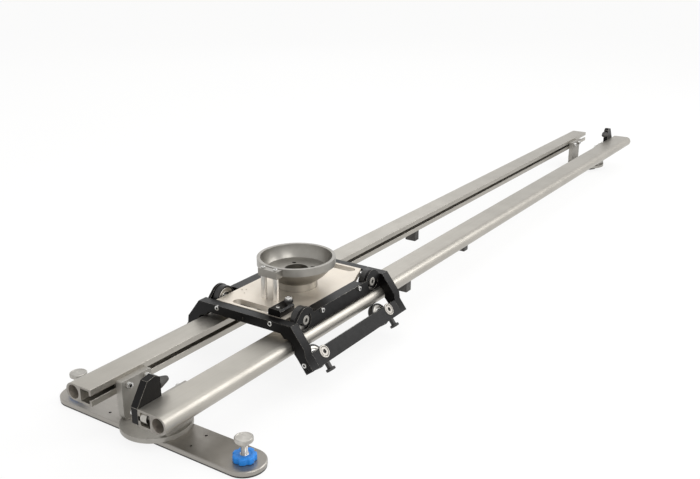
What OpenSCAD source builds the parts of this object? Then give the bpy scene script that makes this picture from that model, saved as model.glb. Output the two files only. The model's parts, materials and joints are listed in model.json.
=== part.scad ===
// Scooter dolly: a two-rail track on a swivelling base plate, with a wheeled carriage that
// carries a bowl adapter. X runs along the rails, Z is up, and the origin is on the floor at
// mid-length, halfway between the rails. The left side is +Y.

/* [Track] */
// Length of each rail
rail_len = 2440; // [2000:20:3000]
// Width of a rail, from its flat inner face to its round outer side
rail_w = 62; // [58:1:66]
// Height of a rail
rail_h = 32; // [30:0.5:36]
// Gap between the two rails
rail_gap = 112; // [108:1:120]
// Height of the rails' underside above the discs that carry them
rail_lift = 49.5; // [46:0.5:70]
// Height of the mouth of the slot along a rail's inner face
slot_mouth = 8.5; // [8.4:0.1:10]
// Thickness of the lips on both sides of the slot's mouth
slot_lip = 4.2; // [3:0.1:5]
// Height of the slot behind its lips
slot_h = 24; // [23:0.5:26]
// Depth of the slot behind its lips
slot_depth = 22; // [18:0.5:23]
// Radius of the round bore along a rail's outer half
rail_bore_r = 13; // [10:0.5:13.5]
// How far that bore lies inward of the outer round's centre
rail_bore_in = 2; // [0:0.5:3]

/* [Brackets] */
// Distance from the near rail ends to the near bracket's centre
near_bracket_in = 90; // [85:5:150]
// Distance from the far rail ends to the far bracket's centre
far_bracket_in = 142; // [120:2:300]
// Radius of a bracket's round disc
disc_r = 64; // [60:1:70]
// Thickness of the disc
disc_t = 8.5; // [6:0.5:10]
// Length of an upright along the rail
upright_len = 70; // [66:1:72]
// Thickness of an upright
upright_t = 14; // [10:1:18]
// Distance from a rail's top down to the upright's top
upright_drop = 7; // [5:0.5:9]
// Radius that rounds the lower corners of an upright into the disc
upright_corner_r = 24; // [12:1:30]
// Spacing of the two screws in an upright
upright_pitch = 42; // [36:1:46]

/* [Base plate] */
// Length of the base plate across the track
base_len = 473; // [440:1:560]
// Width of the base plate
base_w = 74.5; // [70:0.5:90]
// Thickness of the base plate
base_t = 8; // [7:0.5:10]
// Thickness of the rubber sheet under it
pad_t = 3.5; // [3:0.5:5]
// Bevel along the base plate's upper edge
base_bevel = 1.5; // [0.5:0.25:2.5]
// Inset of the rubber sheet from the base plate's edge
pad_inset = 0.6; // [0.2:0.1:2]
// Radius of the pivot bolt's shank
pivot_r = 8; // [6:0.5:10]
// Radius of the pivot bolt's head
pivot_head_r = 17; // [14:0.5:20]
// Height of the pivot bolt's head
pivot_head_h = 5; // [4:0.5:7]
// Radius of the small holes in the base plate
base_hole_r = 2.6; // [2:0.1:3.5]
// Distance of the small holes from the pivot, across the track
base_hole_y = 98; // [90:1:120]
// Spacing of the small holes along the track
base_hole_pitch = 38; // [30:1:44]

/* [Levelling feet] */
// Radius of the levelling screw's stem
level_r = 6; // [5:0.5:7]
// Height of the stem above the base plate
level_stem_h = 28; // [24:1:40]
// Radius of the neck under the knurled head
level_neck_r = 4.8; // [3.5:0.1:5]
// Height of that neck
level_neck_h = 2.5; // [2:0.5:4]
// Radius of the collar between the neck and the knurled head
level_collar_r = 10.5; // [8:0.5:12]
// Height of that collar
level_collar_h = 4.5; // [3:0.5:6]
// Radius of the knurled head
level_head_r = 16; // [14:0.5:18]
// Height of the knurled head
level_head_h = 8; // [6:0.5:10]
// Radius of the small swivel foot at the stem's tip
level_foot_r = 5; // [4:0.5:5]
// Height of the swivel foot's pad
level_foot_h = 4; // [3:0.5:5]
// Radius of the ball that joins the foot to the stem
level_ball_r = 2.6; // [2:0.1:3]
// Outer radius of the star knob that locks the stem
star_r = 20.5; // [18:0.5:24]
// Height of the star knob
star_h = 12; // [10:0.5:14]
// Number of the star knob's lobes
star_lobes = 7; // [5:1:9]
// Radius of the notches between the lobes
star_notch_r = 5; // [4:0.5:6]

/* [Stops and supports] */
// Thickness of a stop plate
stop_t = 20; // [16:1:24]
// Length of a stop plate along the rail
stop_len = 54; // [50:1:55]
// Distance from the far rail ends to the far stop plate
far_stop_in = 33; // [20:1:50]
// Height of a stop plate above the rail's top
stop_rise = 41; // [36:1:46]
// Radius of a rubber buffer at the stop
buffer_r = 11; // [9:0.5:13]
// Length of a rubber buffer
buffer_len = 26; // [20:1:32]
// Length of the flat along a stop plate's top
stop_top_len = 18.6; // [12:0.2:22]
// Height of the buffers' centre above the rail's top
buffer_up = 19; // [17:0.5:21]
// Radius of the round nuts that hold the stop plates in the slot
stop_nut_r = 10.8; // [9:0.1:11.2]
// Length of those round nuts
stop_nut_len = 13.5; // [10:0.5:16]
// Length of a rest pad along the rail
rest_len = 21; // [18:1:28]
// Width of a rest pad
rest_w = 30; // [24:1:36]
// Height of a rest pad
rest_h = 28; // [20:1:30]
// Distance of the second pair of rest pads from the rails' inner faces
rest_inset = 2.6; // [0:0.2:6]
// Distance from the near rail ends to the first pair of rest pads
rest_first = 793.5; // [780:0.5:900]
// Spacing from the first pair of rest pads to the second
rest_pitch = 323; // [280:1:400]
// Radius of the round rubber foot under the far bracket
far_foot_r = 40; // [34:1:50]

/* [Carriage] */
// Distance from the near rail ends to the carriage's centre
carriage_in = 501.6; // [480:0.1:600]
// Length of the platform
deck_len = 303; // [298:1:320]
// Gap between the platform's sides and the upper wheels
deck_side_gap = 3.5; // [2.5:0.25:5]
// Thickness of the platform
deck_t = 11; // [9:0.5:13]
// Height of the platform's underside above the rails
deck_up = 22; // [20:0.5:24]
// Length of the platform's cut far corners
deck_cut_x = 67; // [40:1:75]
// Width of the platform's cut far corners
deck_cut_y = 26; // [15:1:30]
// Width of the two slots across the platform
deck_slot_w = 22; // [16:1:24]
// Length of those slots
deck_slot_len = 110; // [90:1:116]
// Metal left between a slot and the platform's end
deck_slot_edge = 6.5; // [5:0.5:9]
// Radius of the hole in the platform under the bowl
deck_hole_r = 19; // [12:0.5:24]
// Thickness of the two arms at the platform's ends
arm_t = 21; // [18:0.5:24]
// Depth of an arm's beam over the rails
arm_beam_h = 19; // [16:0.5:21]
// Clearance between an arm's notch and the rail's round side
arm_clear = 4; // [2:0.5:6]
// Distance an arm's flat top runs past the centre of the rail's round side
arm_top_out = 12.5; // [9:0.5:16]
// Distance of an arm's shoulder past that centre
arm_shoulder_out = 43.5; // [42:0.5:46]
// Depth of the shoulder's corner below the rail's top
arm_shoulder_low = 8; // [5:0.5:11]
// Distance from the lower bar's start to the corner between shoulder and leg
arm_corner_in = 2; // [1:0.25:3]

/* [Wheels] */
// Radius of a wheel
wheel_r = 24.75; // [23:0.25:27]
// Width of a wheel
wheel_w = 14; // [12:0.5:16]
// Running gap between a wheel and the rail
roll_gap = 0.25; // [0.2:0.05:0.4]
// Thickness of the black tyre
tyre_t = 4; // [3:0.25:5]
// Distance from the platform's ends to the wheel axles
axle_in = 33; // [30.5:0.5:36]
// Distance of the upper wheels' middle from the rail's inner face
upper_wheel_in = 41; // [39:0.5:43]
// Slope of the lower wheels' axles, outward and up
wheel_tilt = 37; // [33:1:41]
// Radius of a wheel axle
axle_r = 5; // [4:0.25:6]
// Radius of the polished head of an upper axle
upper_head_r = 9.2; // [8:0.2:10]
// Radius of the head of a lower axle
lower_head_r = 13; // [11:0.5:14]

/* [Side bars] */
// Thickness of an upper side bar
side_t = 6; // [5:0.5:8]
// Gap between an upper wheel and the side bar
side_gap = 0.5; // [0.3:0.1:1]
// Height of a side bar's lower edge above the rail
side_low = 4; // [2:0.5:6]
// Radius of the round humps over the upper wheels
hump_r = 26; // [24:0.5:27]
// Radius of the lobes that carry the upper axles
lobe_r = 13; // [12:0.5:14]
// Radius of the round windows around those lobes
window_r = 18.5; // [17.5:0.25:19]
// Distance the windows' centres lie outward of the axles
window_out = 2.5; // [1:0.25:3]
// Depth of a step at the ends of a side bar's top
side_step_h = 4; // [2:0.5:5]
// Length of that step
side_step_len = 20; // [15:1:24]
// Distance from the wheel axles to the spacer between side bar and platform
spacer_in = 36.5; // [32:0.5:42]
// Distance from the wheel axles to the side bar's screws
side_screw_in = 52.5; // [46:0.5:60]
// Thickness of a lower bar
bar_t = 17; // [14:0.5:20]
// Gap between a lower wheel and its bar
bar_gap = 8.2; // [6:0.2:10]
// Distance from the rail round's centre to a lower bar's inner edge
bar_start = 31; // [29:0.5:32]
// Distance from the rail round's centre to a lower bar's outer edge
bar_end = 61.5; // [58:0.5:66]
// Radius of a pull pin's neck
pin_neck_r = 5.5; // [4.5:0.5:6.5]
// Radius of a pull pin's knob
pin_knob_r = 10; // [8:0.5:12]
// Length of a pull pin outside the bar
pin_out = 18; // [14:0.5:22]
// Thickness of a pull pin's knob
pin_knob_h = 5.5; // [4:0.5:8]

/* [Bowl] */
// Outer radius of the bowl adapter's band
bowl_r = 81; // [80:0.5:84]
// Height of the bowl's rim above the platform
bowl_h = 64; // [60:0.5:72]
// Height of the bowl's band
band_h = 16; // [12:0.5:18]
// Radius of the ball that the bowl seats
ball_r = 75; // [70:0.5:76]
// Height of the ball's centre above the rim
ball_up = 12; // [10:0.5:16]
// Radius of the bowl's foot
bowl_foot_r = 43; // [42:0.5:46]
// Thickness of metal under the heads of the foot's screws
bowl_foot_h = 8; // [6:0.5:10]
// Radius of the curve that runs from the band down to the foot
under_r = 100; // [96:1:110]
// Height of that curve's centre above the band's lower edge
under_up = 53.5; // [50:0.5:56]
// Step from the band in to the curve
under_step = 4; // [3:0.5:5]
// Depth of the floor inside the bowl below its rim
seat_low = 27; // [24:0.5:28]
// Radius of the hole through the bowl's foot
bowl_hole_r = 24; // [16:0.5:26]
// Radius of the circle on which the foot's screws lie
bowl_screw_pcd_r = 34; // [33:0.25:36]
// Width of the clamp block beside the bowl
block_w = 47; // [44:0.5:52]
// Thickness of the clamp block in front of the bowl
block_front = 14.6; // [13:0.1:18]
// Distance of the two posts from the platform's centre line
post_y = 15; // [13:0.5:16]
// Radius of a post
post_r = 5.75; // [5:0.25:6.5]

/* [Brake] */
// Length of the brake block
brake_len = 44; // [38:1:48]
// Width of the brake block
brake_w = 30; // [24:1:34]
// Height of the brake block
brake_h = 14; // [11:0.5:17]
// Distance of the brake screw from the rail's inner face
brake_in = 10; // [9:0.5:12]
// Radius of the brake pad
brake_pad_r = 8; // [6:0.5:8.5]
// Height of the brake pad
brake_pad_h = 8; // [6:0.5:10]
// Gap between the lifted pad and the rail
brake_gap = 2; // [1:0.25:3]
// Radius of the brake screw's dark collar
brake_collar_r = 9; // [7:0.5:11]
// Height of that collar
brake_collar_h = 6; // [4:0.5:8]
// Radius of the brake screw's bright cap
brake_cap_r = 7; // [5.5:0.5:8]
// Height of that cap
brake_cap_h = 5; // [3:0.5:7]
// Distance from the platform's end to the brake block's fixing screw
brake_bolt_in = 9; // [7:0.5:12]

/* [Fasteners and fits] */
// Shank radius of the bigger socket screws
big_r = 4; // [3.5:0.1:4.1]
// Shank radius of the smaller socket screws
small_r = 3; // [2.5:0.1:3.5]
// Clearance around a fixed screw or pin
screw_fit = 0.1; // [0.05:0.05:0.2]
// Running clearance around an axle or a sliding stem
run_fit = 0.05; // [0.02:0.01:0.1]
// Gap left beside a part that turns or slides
side_play = 0.25; // [0.2:0.05:0.4]

/* [Hidden] */
$fn = 64;

left = 1;
right = -1;
near = -1;
far = 1;

// Small overlap that lets a cut run past a face
cut = 1;

// Heights of the track's faces
base_top = pad_t + base_t;
disc_top = base_top + disc_t;
rail_low = disc_top + rail_lift;
rail_top = rail_low + rail_h;
rail_mid = rail_low + rail_h / 2;
rail_end = rail_len / 2;

// The rail's section, measured out from the track's centre line
rail_in = rail_gap / 2;
rail_round_r = rail_h / 2;
round_y = rail_in + rail_w - rail_round_r;
slot_back = rail_in + slot_lip;

// Places along the track
near_x = near_bracket_in - rail_end;
far_x = rail_end - far_bracket_in;
cx = carriage_in - rail_end;
deck_end = deck_len / 2;
axle_x = deck_end - axle_in;
spacer_half = axle_x - spacer_in;
side_screw_x = axle_x - side_screw_in;

// Heights on the carriage
deck_low = rail_top + deck_up;
deck_top = deck_low + deck_t;
arm_top = deck_top - 1;
arm_low = arm_top - arm_beam_h;
axle_z = rail_top + wheel_r + roll_gap;
wheel_e = rail_round_r + roll_gap + wheel_r;
upper_y = rail_in + upper_wheel_in;
deck_w = 2 * (upper_y - wheel_w / 2 - deck_side_gap);
side_in = upper_y + wheel_w / 2 + side_gap;
side_out = side_in + side_t;
side_top = deck_top;
bar_in = wheel_w / 2 + bar_gap;
bar_out = bar_in + bar_t;
bowl_rim = deck_top + bowl_h;
band_low = bowl_rim - band_h;

// Heads of the socket screws: radius and height of three standard sizes
big_head_r = 6.5;
big_head_h = 8;
small_head_r = 5;
small_head_h = 6;
tiny_r = 2.5;
tiny_head_r = 4.25;
tiny_head_h = 5;

// Point beside a rail, given along the lower axle (m) and away from the rail's round (e)
function beside(m, e) = [
    round_y + m * cos(wheel_tilt) + e * sin(wheel_tilt),
    rail_mid + m * sin(wheel_tilt) - e * cos(wheel_tilt)
];

// Angle at which a line from a point meets a circle of radius r round the origin
function tangent_angle(p, r, turn) = atan2(p[1], p[0]) + turn * acos(r / norm(p));

// Draws a left-hand shape on the side asked for
module on_side(side) {
    if (side == right) mirror([0, 1, 0]) children();
    else children();
}

// Turns a shape drawn for the far end round to the near end
module on_end(end) {
    if (end == near) mirror([1, 0, 0]) children();
    else children();
}

// Extrudes a (y, z) outline along X
module along_x(from, to) {
    translate([from, 0, 0]) rotate([90, 0, 90]) linear_extrude(to - from) children();
}

// Extrudes an (x, z) outline along Y
module along_y(from, to) {
    translate([0, to, 0]) rotate([90, 0, 0]) linear_extrude(to - from) children();
}

module rod_x(from, to, r) {
    translate([from, 0, 0]) rotate([0, 90, 0]) cylinder(h = to - from, r = r);
}

module rod_y(from, to, r) {
    translate([0, from, 0]) rotate([-90, 0, 0]) cylinder(h = to - from, r = r);
}

// Places children in the frame of a left lower wheel: Z along its axle, away from the track,
// and +Y away from the rail
module at_lower(x) {
    translate([x, round_y, rail_mid]) rotate([-90 + wheel_tilt, 0, 0]) children();
}

// Round bar on an axle-wise place of that frame, from m0 to m1, at distance e
module lower_rod(x, e, m0, m1, r) {
    at_lower(x) translate([0, e, m0]) cylinder(h = m1 - m0, r = r);
}

module round_square(w, h, r) {
    square([w - 2 * r, h], center = true);
    square([w, h - 2 * r], center = true);
    for (x = [-1, 1]) for (y = [-1, 1]) translate([x * (w / 2 - r), y * (h / 2 - r)]) circle(r = r);
}

// A socket's floor and radius as shares of the head's height and radius
socket_floor = 0.4;
socket_share = 0.52;

// Socket screw with its seat at the origin, head up and shank down
module socket_screw(head_r, head_h, shank_r, shank_len) {
    difference() {
        union() {
            cylinder(h = head_h - 0.6, r = head_r);
            translate([0, 0, head_h - 0.6]) cylinder(h = 0.6, r1 = head_r, r2 = head_r - 0.6);
            translate([0, 0, -shank_len]) cylinder(h = shank_len, r = shank_r);
        }
        translate([0, 0, head_h * socket_floor]) cylinder(h = head_h, r = head_r * socket_share, $fn = 6);
    }
}

module socket_screw_y(head_r, head_h, shank_r, shank_len) {
    rotate([-90, 0, 0]) socket_screw(head_r, head_h, shank_r, shank_len);
}

// Track

module rail_section() {
    difference() {
        union() {
            translate([round_y, rail_mid]) circle(r = rail_round_r);
            translate([rail_in, rail_low]) square([rail_w - rail_round_r, rail_h]);
        }
        translate([round_y - rail_bore_in, rail_mid]) circle(r = rail_bore_r);
        translate([rail_in - cut, rail_mid - slot_mouth / 2]) square([slot_lip + 2 * cut, slot_mouth]);
        translate([slot_back + slot_depth / 2, rail_mid]) round_square(slot_depth, slot_h, 2);
    }
}

module rail(side) {
    color("gainsboro") on_side(side) along_x(-rail_end, rail_end) rail_section();
}

// Outline of one upright, its lower corners rounded down to the disc
module upright_shape() {
    height = rail_top - upright_drop - base_top;
    r = upright_corner_r;
    top_r = 3;
    half = upright_len / 2;
    translate([-half, base_top + r]) square([upright_len, height - r - top_r]);
    translate([-half + top_r, base_top + r]) square([upright_len - 2 * top_r, height - r]);
    for (s = [-1, 1]) translate([s * (half - top_r), base_top + height - top_r]) circle(r = top_r);
    intersection() {
        translate([-half, base_top]) square([upright_len, r]);
        union() {
            translate([-half + r, base_top]) square([upright_len - 2 * r, r]);
            for (s = [-1, 1]) translate([s * (half - r), base_top + r]) circle(r = r);
        }
    }
}

module bracket(x) {
    color("black") difference() {
        union() {
            translate([x, 0, base_top]) cylinder(h = disc_t, r = disc_r);
            for (side = [left, right]) on_side(side)
                translate([x, 0, 0]) along_y(rail_in - upright_t, rail_in) upright_shape();
        }
        for (s = [-1, 1]) translate([x + s * upright_pitch / 2, 0, rail_mid])
            rod_y(-rail_in - cut, rail_in + cut, big_r + screw_fit);
        translate([x, 0, base_top - cut]) cylinder(h = disc_t + 2 * cut, r = pivot_r + screw_fit);
    }
}

slot_nut_len = 62;
slot_nut_h = 14;
slot_nut_t = 6;

// Flat nut bars that run in the rails' slots behind the uprights
module slot_nuts() {
    color("silver") for (x = [near_x, far_x]) for (side = [left, right]) on_side(side)
        difference() {
            translate([x - slot_nut_len / 2, slot_back, rail_mid - slot_nut_h / 2])
                cube([slot_nut_len, slot_nut_t, slot_nut_h]);
            for (s = [-1, 1]) translate([x + s * upright_pitch / 2, 0, rail_mid])
                rod_y(slot_back - cut, slot_back + slot_nut_t + cut, big_r + run_fit);
        }
}

// The stops' two screws, measured in from the stop's outer end
stop_screw_in = [11, 45];
stop_head_sink = 5;

// Round nuts behind the stop plates, in the right rail's slot
module stop_nuts() {
    color("silver") for (end = [near, far]) for (d = stop_screw_in)
        on_side(right) translate([stop_x(end) - end * d, 0, rail_mid]) difference() {
            rod_y(slot_back, slot_back + stop_nut_len, stop_nut_r);
            rod_y(slot_back - cut, slot_back + stop_nut_len + cut, big_r + run_fit);
        }
}

module slot_screws() {
    color("silver") {
        for (x = [near_x, far_x]) for (side = [left, right]) for (s = [-1, 1]) on_side(side)
            translate([x + s * upright_pitch / 2, rail_in - upright_t, rail_mid]) mirror([0, 1, 0])
                socket_screw_y(big_head_r, big_head_h, big_r, upright_t + slot_lip + slot_nut_t);
        for (end = [near, far]) for (d = stop_screw_in) on_side(right)
            translate([stop_x(end) - end * d, rail_in - stop_t + stop_head_sink, rail_mid])
                mirror([0, 1, 0]) socket_screw_y(big_head_r, big_head_h, big_r,
                    stop_t - stop_head_sink + slot_lip + stop_nut_len + 3);
    }
}

// Where the outer end of a stop plate lies
function stop_x(end) = end * (rail_end - (end == far ? far_stop_in : 0));

// Outline of a stop plate, running inward from its outer end
module stop_outline() {
    bevel = 3;
    top = rail_top + stop_rise;
    nose = 10;
    polygon([
        [bevel, rail_low], [stop_len - bevel, rail_low], [stop_len, rail_low + bevel],
        [stop_len, top - 2 * bevel], [stop_len - nose, top],
        [stop_len - nose - stop_top_len, top - bevel], [0, rail_top], [0, rail_low + bevel]
    ]);
}

module stop(end) {
    color("black") on_side(right) difference() {
        translate([stop_x(end), 0, 0]) on_end(-end)
            along_y(rail_in - stop_t, rail_in) stop_outline();
        for (d = stop_screw_in) translate([stop_x(end) - end * d, 0, rail_mid]) {
            rod_y(rail_in - stop_t - cut, rail_in + cut, big_r + screw_fit);
            rod_y(rail_in - stop_t - cut, rail_in - stop_t + stop_head_sink, big_head_r + screw_fit);
        }
    }
}

// Length of the blunt tip of a buffer
buffer_tip = 4;

// Rubber cones that meet the carriage's arms
module stop_buffers() {
    color("dimgray") for (end = [near, far])
        translate([stop_x(end) - end * stop_len, -rail_in + stop_t / 2, rail_top + buffer_up])
            rotate([0, end * -90, 0]) {
                cylinder(h = buffer_len - buffer_tip, r1 = buffer_r, r2 = buffer_r * 0.8);
                translate([0, 0, buffer_len - buffer_tip])
                    cylinder(h = buffer_tip, r1 = buffer_r * 0.8, r2 = buffer_r * 0.5);
            }
}

// Blocks under the rails: the first pair further out than the second
module rest_pads() {
    first_x = rest_first - rail_end;
    color("black") for (side = [left, right]) on_side(side) {
        translate([first_x - rest_len / 2, round_y - rest_w, rail_low - rest_h]) rest_block();
        translate([first_x + rest_pitch - rest_len / 2, rail_in + rest_inset, rail_low - rest_h])
            rest_block();
    }
}

module rest_block() {
    cube([rest_len, rest_w, rest_h]);
}

module far_foot() {
    bevel = 2;
    color("dimgray") translate([far_x, 0, 0]) {
        cylinder(h = bevel, r1 = far_foot_r - bevel, r2 = far_foot_r);
        translate([0, 0, bevel]) cylinder(h = base_top - bevel, r = far_foot_r);
    }
}

// Base plate and levelling feet

level_y = (base_len - base_w) / 2;

// Strip with fully round ends, from z0 to z1
module strip(inset, z0, z1) {
    r = base_w / 2 - inset;
    translate([near_x, 0, z0]) {
        translate([-r, -level_y, 0]) cube([2 * r, 2 * level_y, z1 - z0]);
        for (s = [-1, 1]) translate([0, s * level_y, 0]) cylinder(h = z1 - z0, r = r);
    }
}

// The same strip with its upper edge bevelled off
module bevelled_strip(z0, z1, bevel) {
    r = base_w / 2;
    strip(0, z0, z1 - bevel);
    translate([near_x, 0, z1 - bevel]) {
        rotate([90, 0, 0]) translate([0, 0, -level_y]) linear_extrude(2 * level_y)
            polygon([[-r, 0], [r, 0], [r - bevel, bevel], [-r + bevel, bevel]]);
        for (s = [-1, 1]) translate([0, s * level_y, 0]) cylinder(h = bevel, r1 = r, r2 = r - bevel);
    }
}

pivot_flange_r = 13;
pivot_flange_h = 2.6;
pivot_seat = pad_t + pivot_flange_h + 2 * side_play;

module base_plate() {
    color("black") difference() {
        bevelled_strip(pad_t, base_top, base_bevel);
        translate([near_x, 0, 0]) cylinder(h = base_top + cut, r = pivot_r + run_fit);
        translate([near_x, 0, 0]) cylinder(h = pivot_seat, r = pivot_flange_r + side_play);
        for (s = [-1, 1]) translate([near_x, s * level_y, 0])
            cylinder(h = base_top + cut, r = level_r + run_fit);
        for (s = [-1, 1]) for (t = [-1, 1])
            translate([near_x + t * base_hole_pitch / 2, s * base_hole_y, 0])
                cylinder(h = base_top + cut, r = base_hole_r);
    }
}

module base_pad() {
    color("dimgray") difference() {
        strip(pad_inset, 0, pad_t);
        for (s = [-1, 1]) translate([near_x, s * level_y, -cut])
            cylinder(h = pad_t + 2 * cut, r = level_r + 1.5);
    }
}

// Bolt fixed in the bracket's disc; the base plate turns on its lower end
module pivot_bolt() {
    color("silver") translate([near_x, 0, 0]) difference() {
        union() {
            translate([0, 0, pad_t + side_play]) cylinder(h = pivot_flange_h, r = pivot_flange_r);
            translate([0, 0, pad_t + side_play]) cylinder(h = disc_top - pad_t - side_play, r = pivot_r);
            translate([0, 0, disc_top]) cylinder(h = pivot_head_h - 1, r = pivot_head_r);
            translate([0, 0, disc_top + pivot_head_h - 1])
                cylinder(h = 1, r1 = pivot_head_r, r2 = pivot_head_r - 1);
        }
        translate([0, 0, disc_top + 1]) cylinder(h = pivot_head_h, r = pivot_r * 0.75, $fn = 6);
    }
}

level_ball_z = level_foot_h + 3;
level_hub_low = base_top + level_stem_h;
level_collar_low = level_hub_low + level_neck_h;
level_hub_top = level_collar_low + level_collar_h;

module levelling_foot(side) {
    color("dimgray") translate([near_x, side * level_y, 0]) {
        cylinder(h = level_foot_h, r = level_foot_r);
        translate([0, 0, level_foot_h]) cylinder(h = level_ball_z - level_foot_h, r = level_ball_r * 0.6);
        translate([0, 0, level_ball_z]) sphere(r = level_ball_r);
    }
}

module levelling_screw(side) {
    color("gainsboro") translate([near_x, side * level_y, 0]) difference() {
        union() {
            translate([0, 0, level_foot_h + side_play])
                cylinder(h = level_hub_low - level_foot_h - side_play, r = level_r);
            translate([0, 0, level_hub_low]) cylinder(h = level_neck_h, r = level_neck_r);
            translate([0, 0, level_collar_low]) cylinder(h = level_collar_h, r = level_collar_r);
            translate([0, 0, level_hub_top]) knurled_head();
        }
        translate([0, 0, level_ball_z]) sphere(r = level_ball_r + run_fit);
        translate([0, 0, level_foot_h]) cylinder(h = level_ball_z - level_foot_h, r = level_ball_r * 0.8);
    }
}

module knurled_head() {
    bevel = 1;
    cylinder(h = bevel, r1 = level_head_r - bevel, r2 = level_head_r);
    translate([0, 0, bevel]) cylinder(h = level_head_h - 2 * bevel, r = level_head_r);
    translate([0, 0, level_head_h - bevel]) cylinder(h = bevel, r1 = level_head_r, r2 = level_head_r - bevel);
}

// How far outside the star's rim the centres of its notches lie
star_notch_out = 1.75;

module lock_knob(side) {
    rim = 3;
    color("royalblue") translate([near_x, side * level_y, base_top]) difference() {
        rotate_extrude() {
            square([star_r - rim, star_h]);
            square([star_r, star_h - rim]);
            translate([star_r - rim, star_h - rim]) circle(r = rim);
        }
        translate([0, 0, -cut]) cylinder(h = star_h + 2 * cut, r = level_r + run_fit);
        for (i = [0 : star_lobes - 1]) rotate([0, 0, (i + 0.5) * 360 / star_lobes])
            translate([star_r + star_notch_out, 0, -cut]) cylinder(h = star_h + 2 * cut, r = star_notch_r);
    }
}

// Carriage

arm_screw_y = 66;
dowel_r = 2;
// The screw and the dowel that hold a lower bar's end: along the axle, away from the rail
bar_bolt = [bar_in + 6, 44];
bar_dowel = [bar_in + 5, 54.5];
head_sink = 4;

module platform() {
    slot_x = deck_end - deck_slot_edge - deck_slot_w / 2;
    slot_half = deck_slot_len / 2 - deck_slot_w / 2;
    color("silver") translate([cx, 0, 0]) difference() {
        translate([0, 0, deck_low]) linear_extrude(deck_t) polygon([
            [-deck_end, -deck_w / 2], [deck_end - deck_cut_x, -deck_w / 2],
            [deck_end, -deck_w / 2 + deck_cut_y], [deck_end, deck_w / 2 - deck_cut_y],
            [deck_end - deck_cut_x, deck_w / 2], [-deck_end, deck_w / 2]
        ]);
        for (s = [-1, 1]) translate([s * slot_x, 0, deck_low - cut]) {
            translate([-deck_slot_w / 2, -slot_half, 0])
                cube([deck_slot_w, 2 * slot_half, deck_t + 2 * cut]);
            for (t = [-1, 1]) translate([0, t * slot_half, 0])
                cylinder(h = deck_t + 2 * cut, r = deck_slot_w / 2);
        }
        translate([0, 0, deck_low - cut]) cylinder(h = deck_t + 2 * cut, r = deck_hole_r);
        at_bowl_screws() translate([0, 0, deck_low - cut])
            cylinder(h = deck_t + 2 * cut, r = tiny_r + screw_fit);
        for (s = [-1, 1]) translate([post_x - cx, s * post_y, deck_top - post_peg])
            cylinder(h = post_peg + cut, r = post_peg_r + screw_fit);
        for (p = accessory_holes) translate([p[0], p[1], deck_low - cut])
            cylinder(h = deck_t + 2 * cut, r = accessory_r);
        for (s = [-1, 1]) for (t = [-1, 1]) translate([s * deck_end, t * arm_screw_y, arm_screw_z])
            rod_x(-arm_screw_bite, arm_screw_bite, small_r + screw_fit);
        for (s = [-1, 1]) for (t = [-1, 1]) translate([s * side_screw_x, t * deck_w / 2, arm_screw_z])
            rod_y(-side_screw_bite, side_screw_bite, small_r + screw_fit);
        translate([brake_x - cx, brake_y, deck_low - cut])
            cylinder(h = deck_t + 2 * cut, r = brake_shank_r + run_fit);
        translate([brake_bolt_x - cx, brake_bolt_y, deck_top - brake_bolt_bite - 0.5])
            cylinder(h = brake_bolt_bite + 0.5 + cut, r = tiny_r + screw_fit);
    }
}

arm_screw_z = deck_low + 5;
arm_screw_bite = 16;
side_screw_bite = 14;
side_head_sink = 2;
accessory_r = 1.6;
// Three small tapped holes near the platform's left near corner, from the platform's centre
accessory_holes = [[-84, 77], [-79, 70], [-95, 62]];

// How far a leg is thicker than its lower bar, on the bar's inner side
arm_leg_over = 2.1;
// Where the leg's inner corner and the beam's end lie around the rail
arm_pit_in = 5.4;
arm_pit_back = 12;

// Half of an arm: a beam over the rail, a shoulder, and a leg down to the lower bar
module arm_half() {
    leg_in = bar_in - arm_leg_over;
    difference() {
        polygon([
            [0, arm_top], [round_y + arm_top_out, arm_top],
            [round_y + arm_shoulder_out, rail_top - arm_shoulder_low],
            beside(bar_out, bar_start + arm_corner_in), beside(bar_out, bar_end),
            beside(leg_in, bar_end), beside(leg_in, bar_start - arm_pit_in),
            [round_y - arm_pit_back, arm_low], [0, arm_low]
        ]);
        translate([round_y, rail_mid]) circle(r = rail_round_r + arm_clear);
    }
}

module arm(end) {
    x0 = cx + (end == far ? deck_end : -deck_end - arm_t);
    x1 = x0 + arm_t;
    outer = end == far ? x1 : x0;
    color("black") difference() {
        along_x(x0, x1) {
            arm_half();
            mirror([1, 0]) arm_half();
        }
        for (side = [left, right]) on_side(side) {
            translate([0, arm_screw_y, arm_screw_z]) {
                rod_x(x0 - cut, x1 + cut, small_r + screw_fit);
                rod_x(outer - head_sink, outer + head_sink, small_head_r + screw_fit);
            }
            translate([0, beside(bar_bolt[0], bar_bolt[1])[0], beside(bar_bolt[0], bar_bolt[1])[1]]) {
                rod_x(x0 - cut, x1 + cut, small_r + screw_fit);
                rod_x(outer - head_sink, outer + head_sink, small_head_r + screw_fit);
            }
            translate([0, beside(bar_dowel[0], bar_dowel[1])[0], beside(bar_dowel[0], bar_dowel[1])[1]])
                rod_x(x0 - cut, x1 + cut, dowel_r);
        }
        translate([0, 0, arm_low + 9]) rod_x(outer - 6, outer + 6, dowel_r);
    }
}

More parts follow.
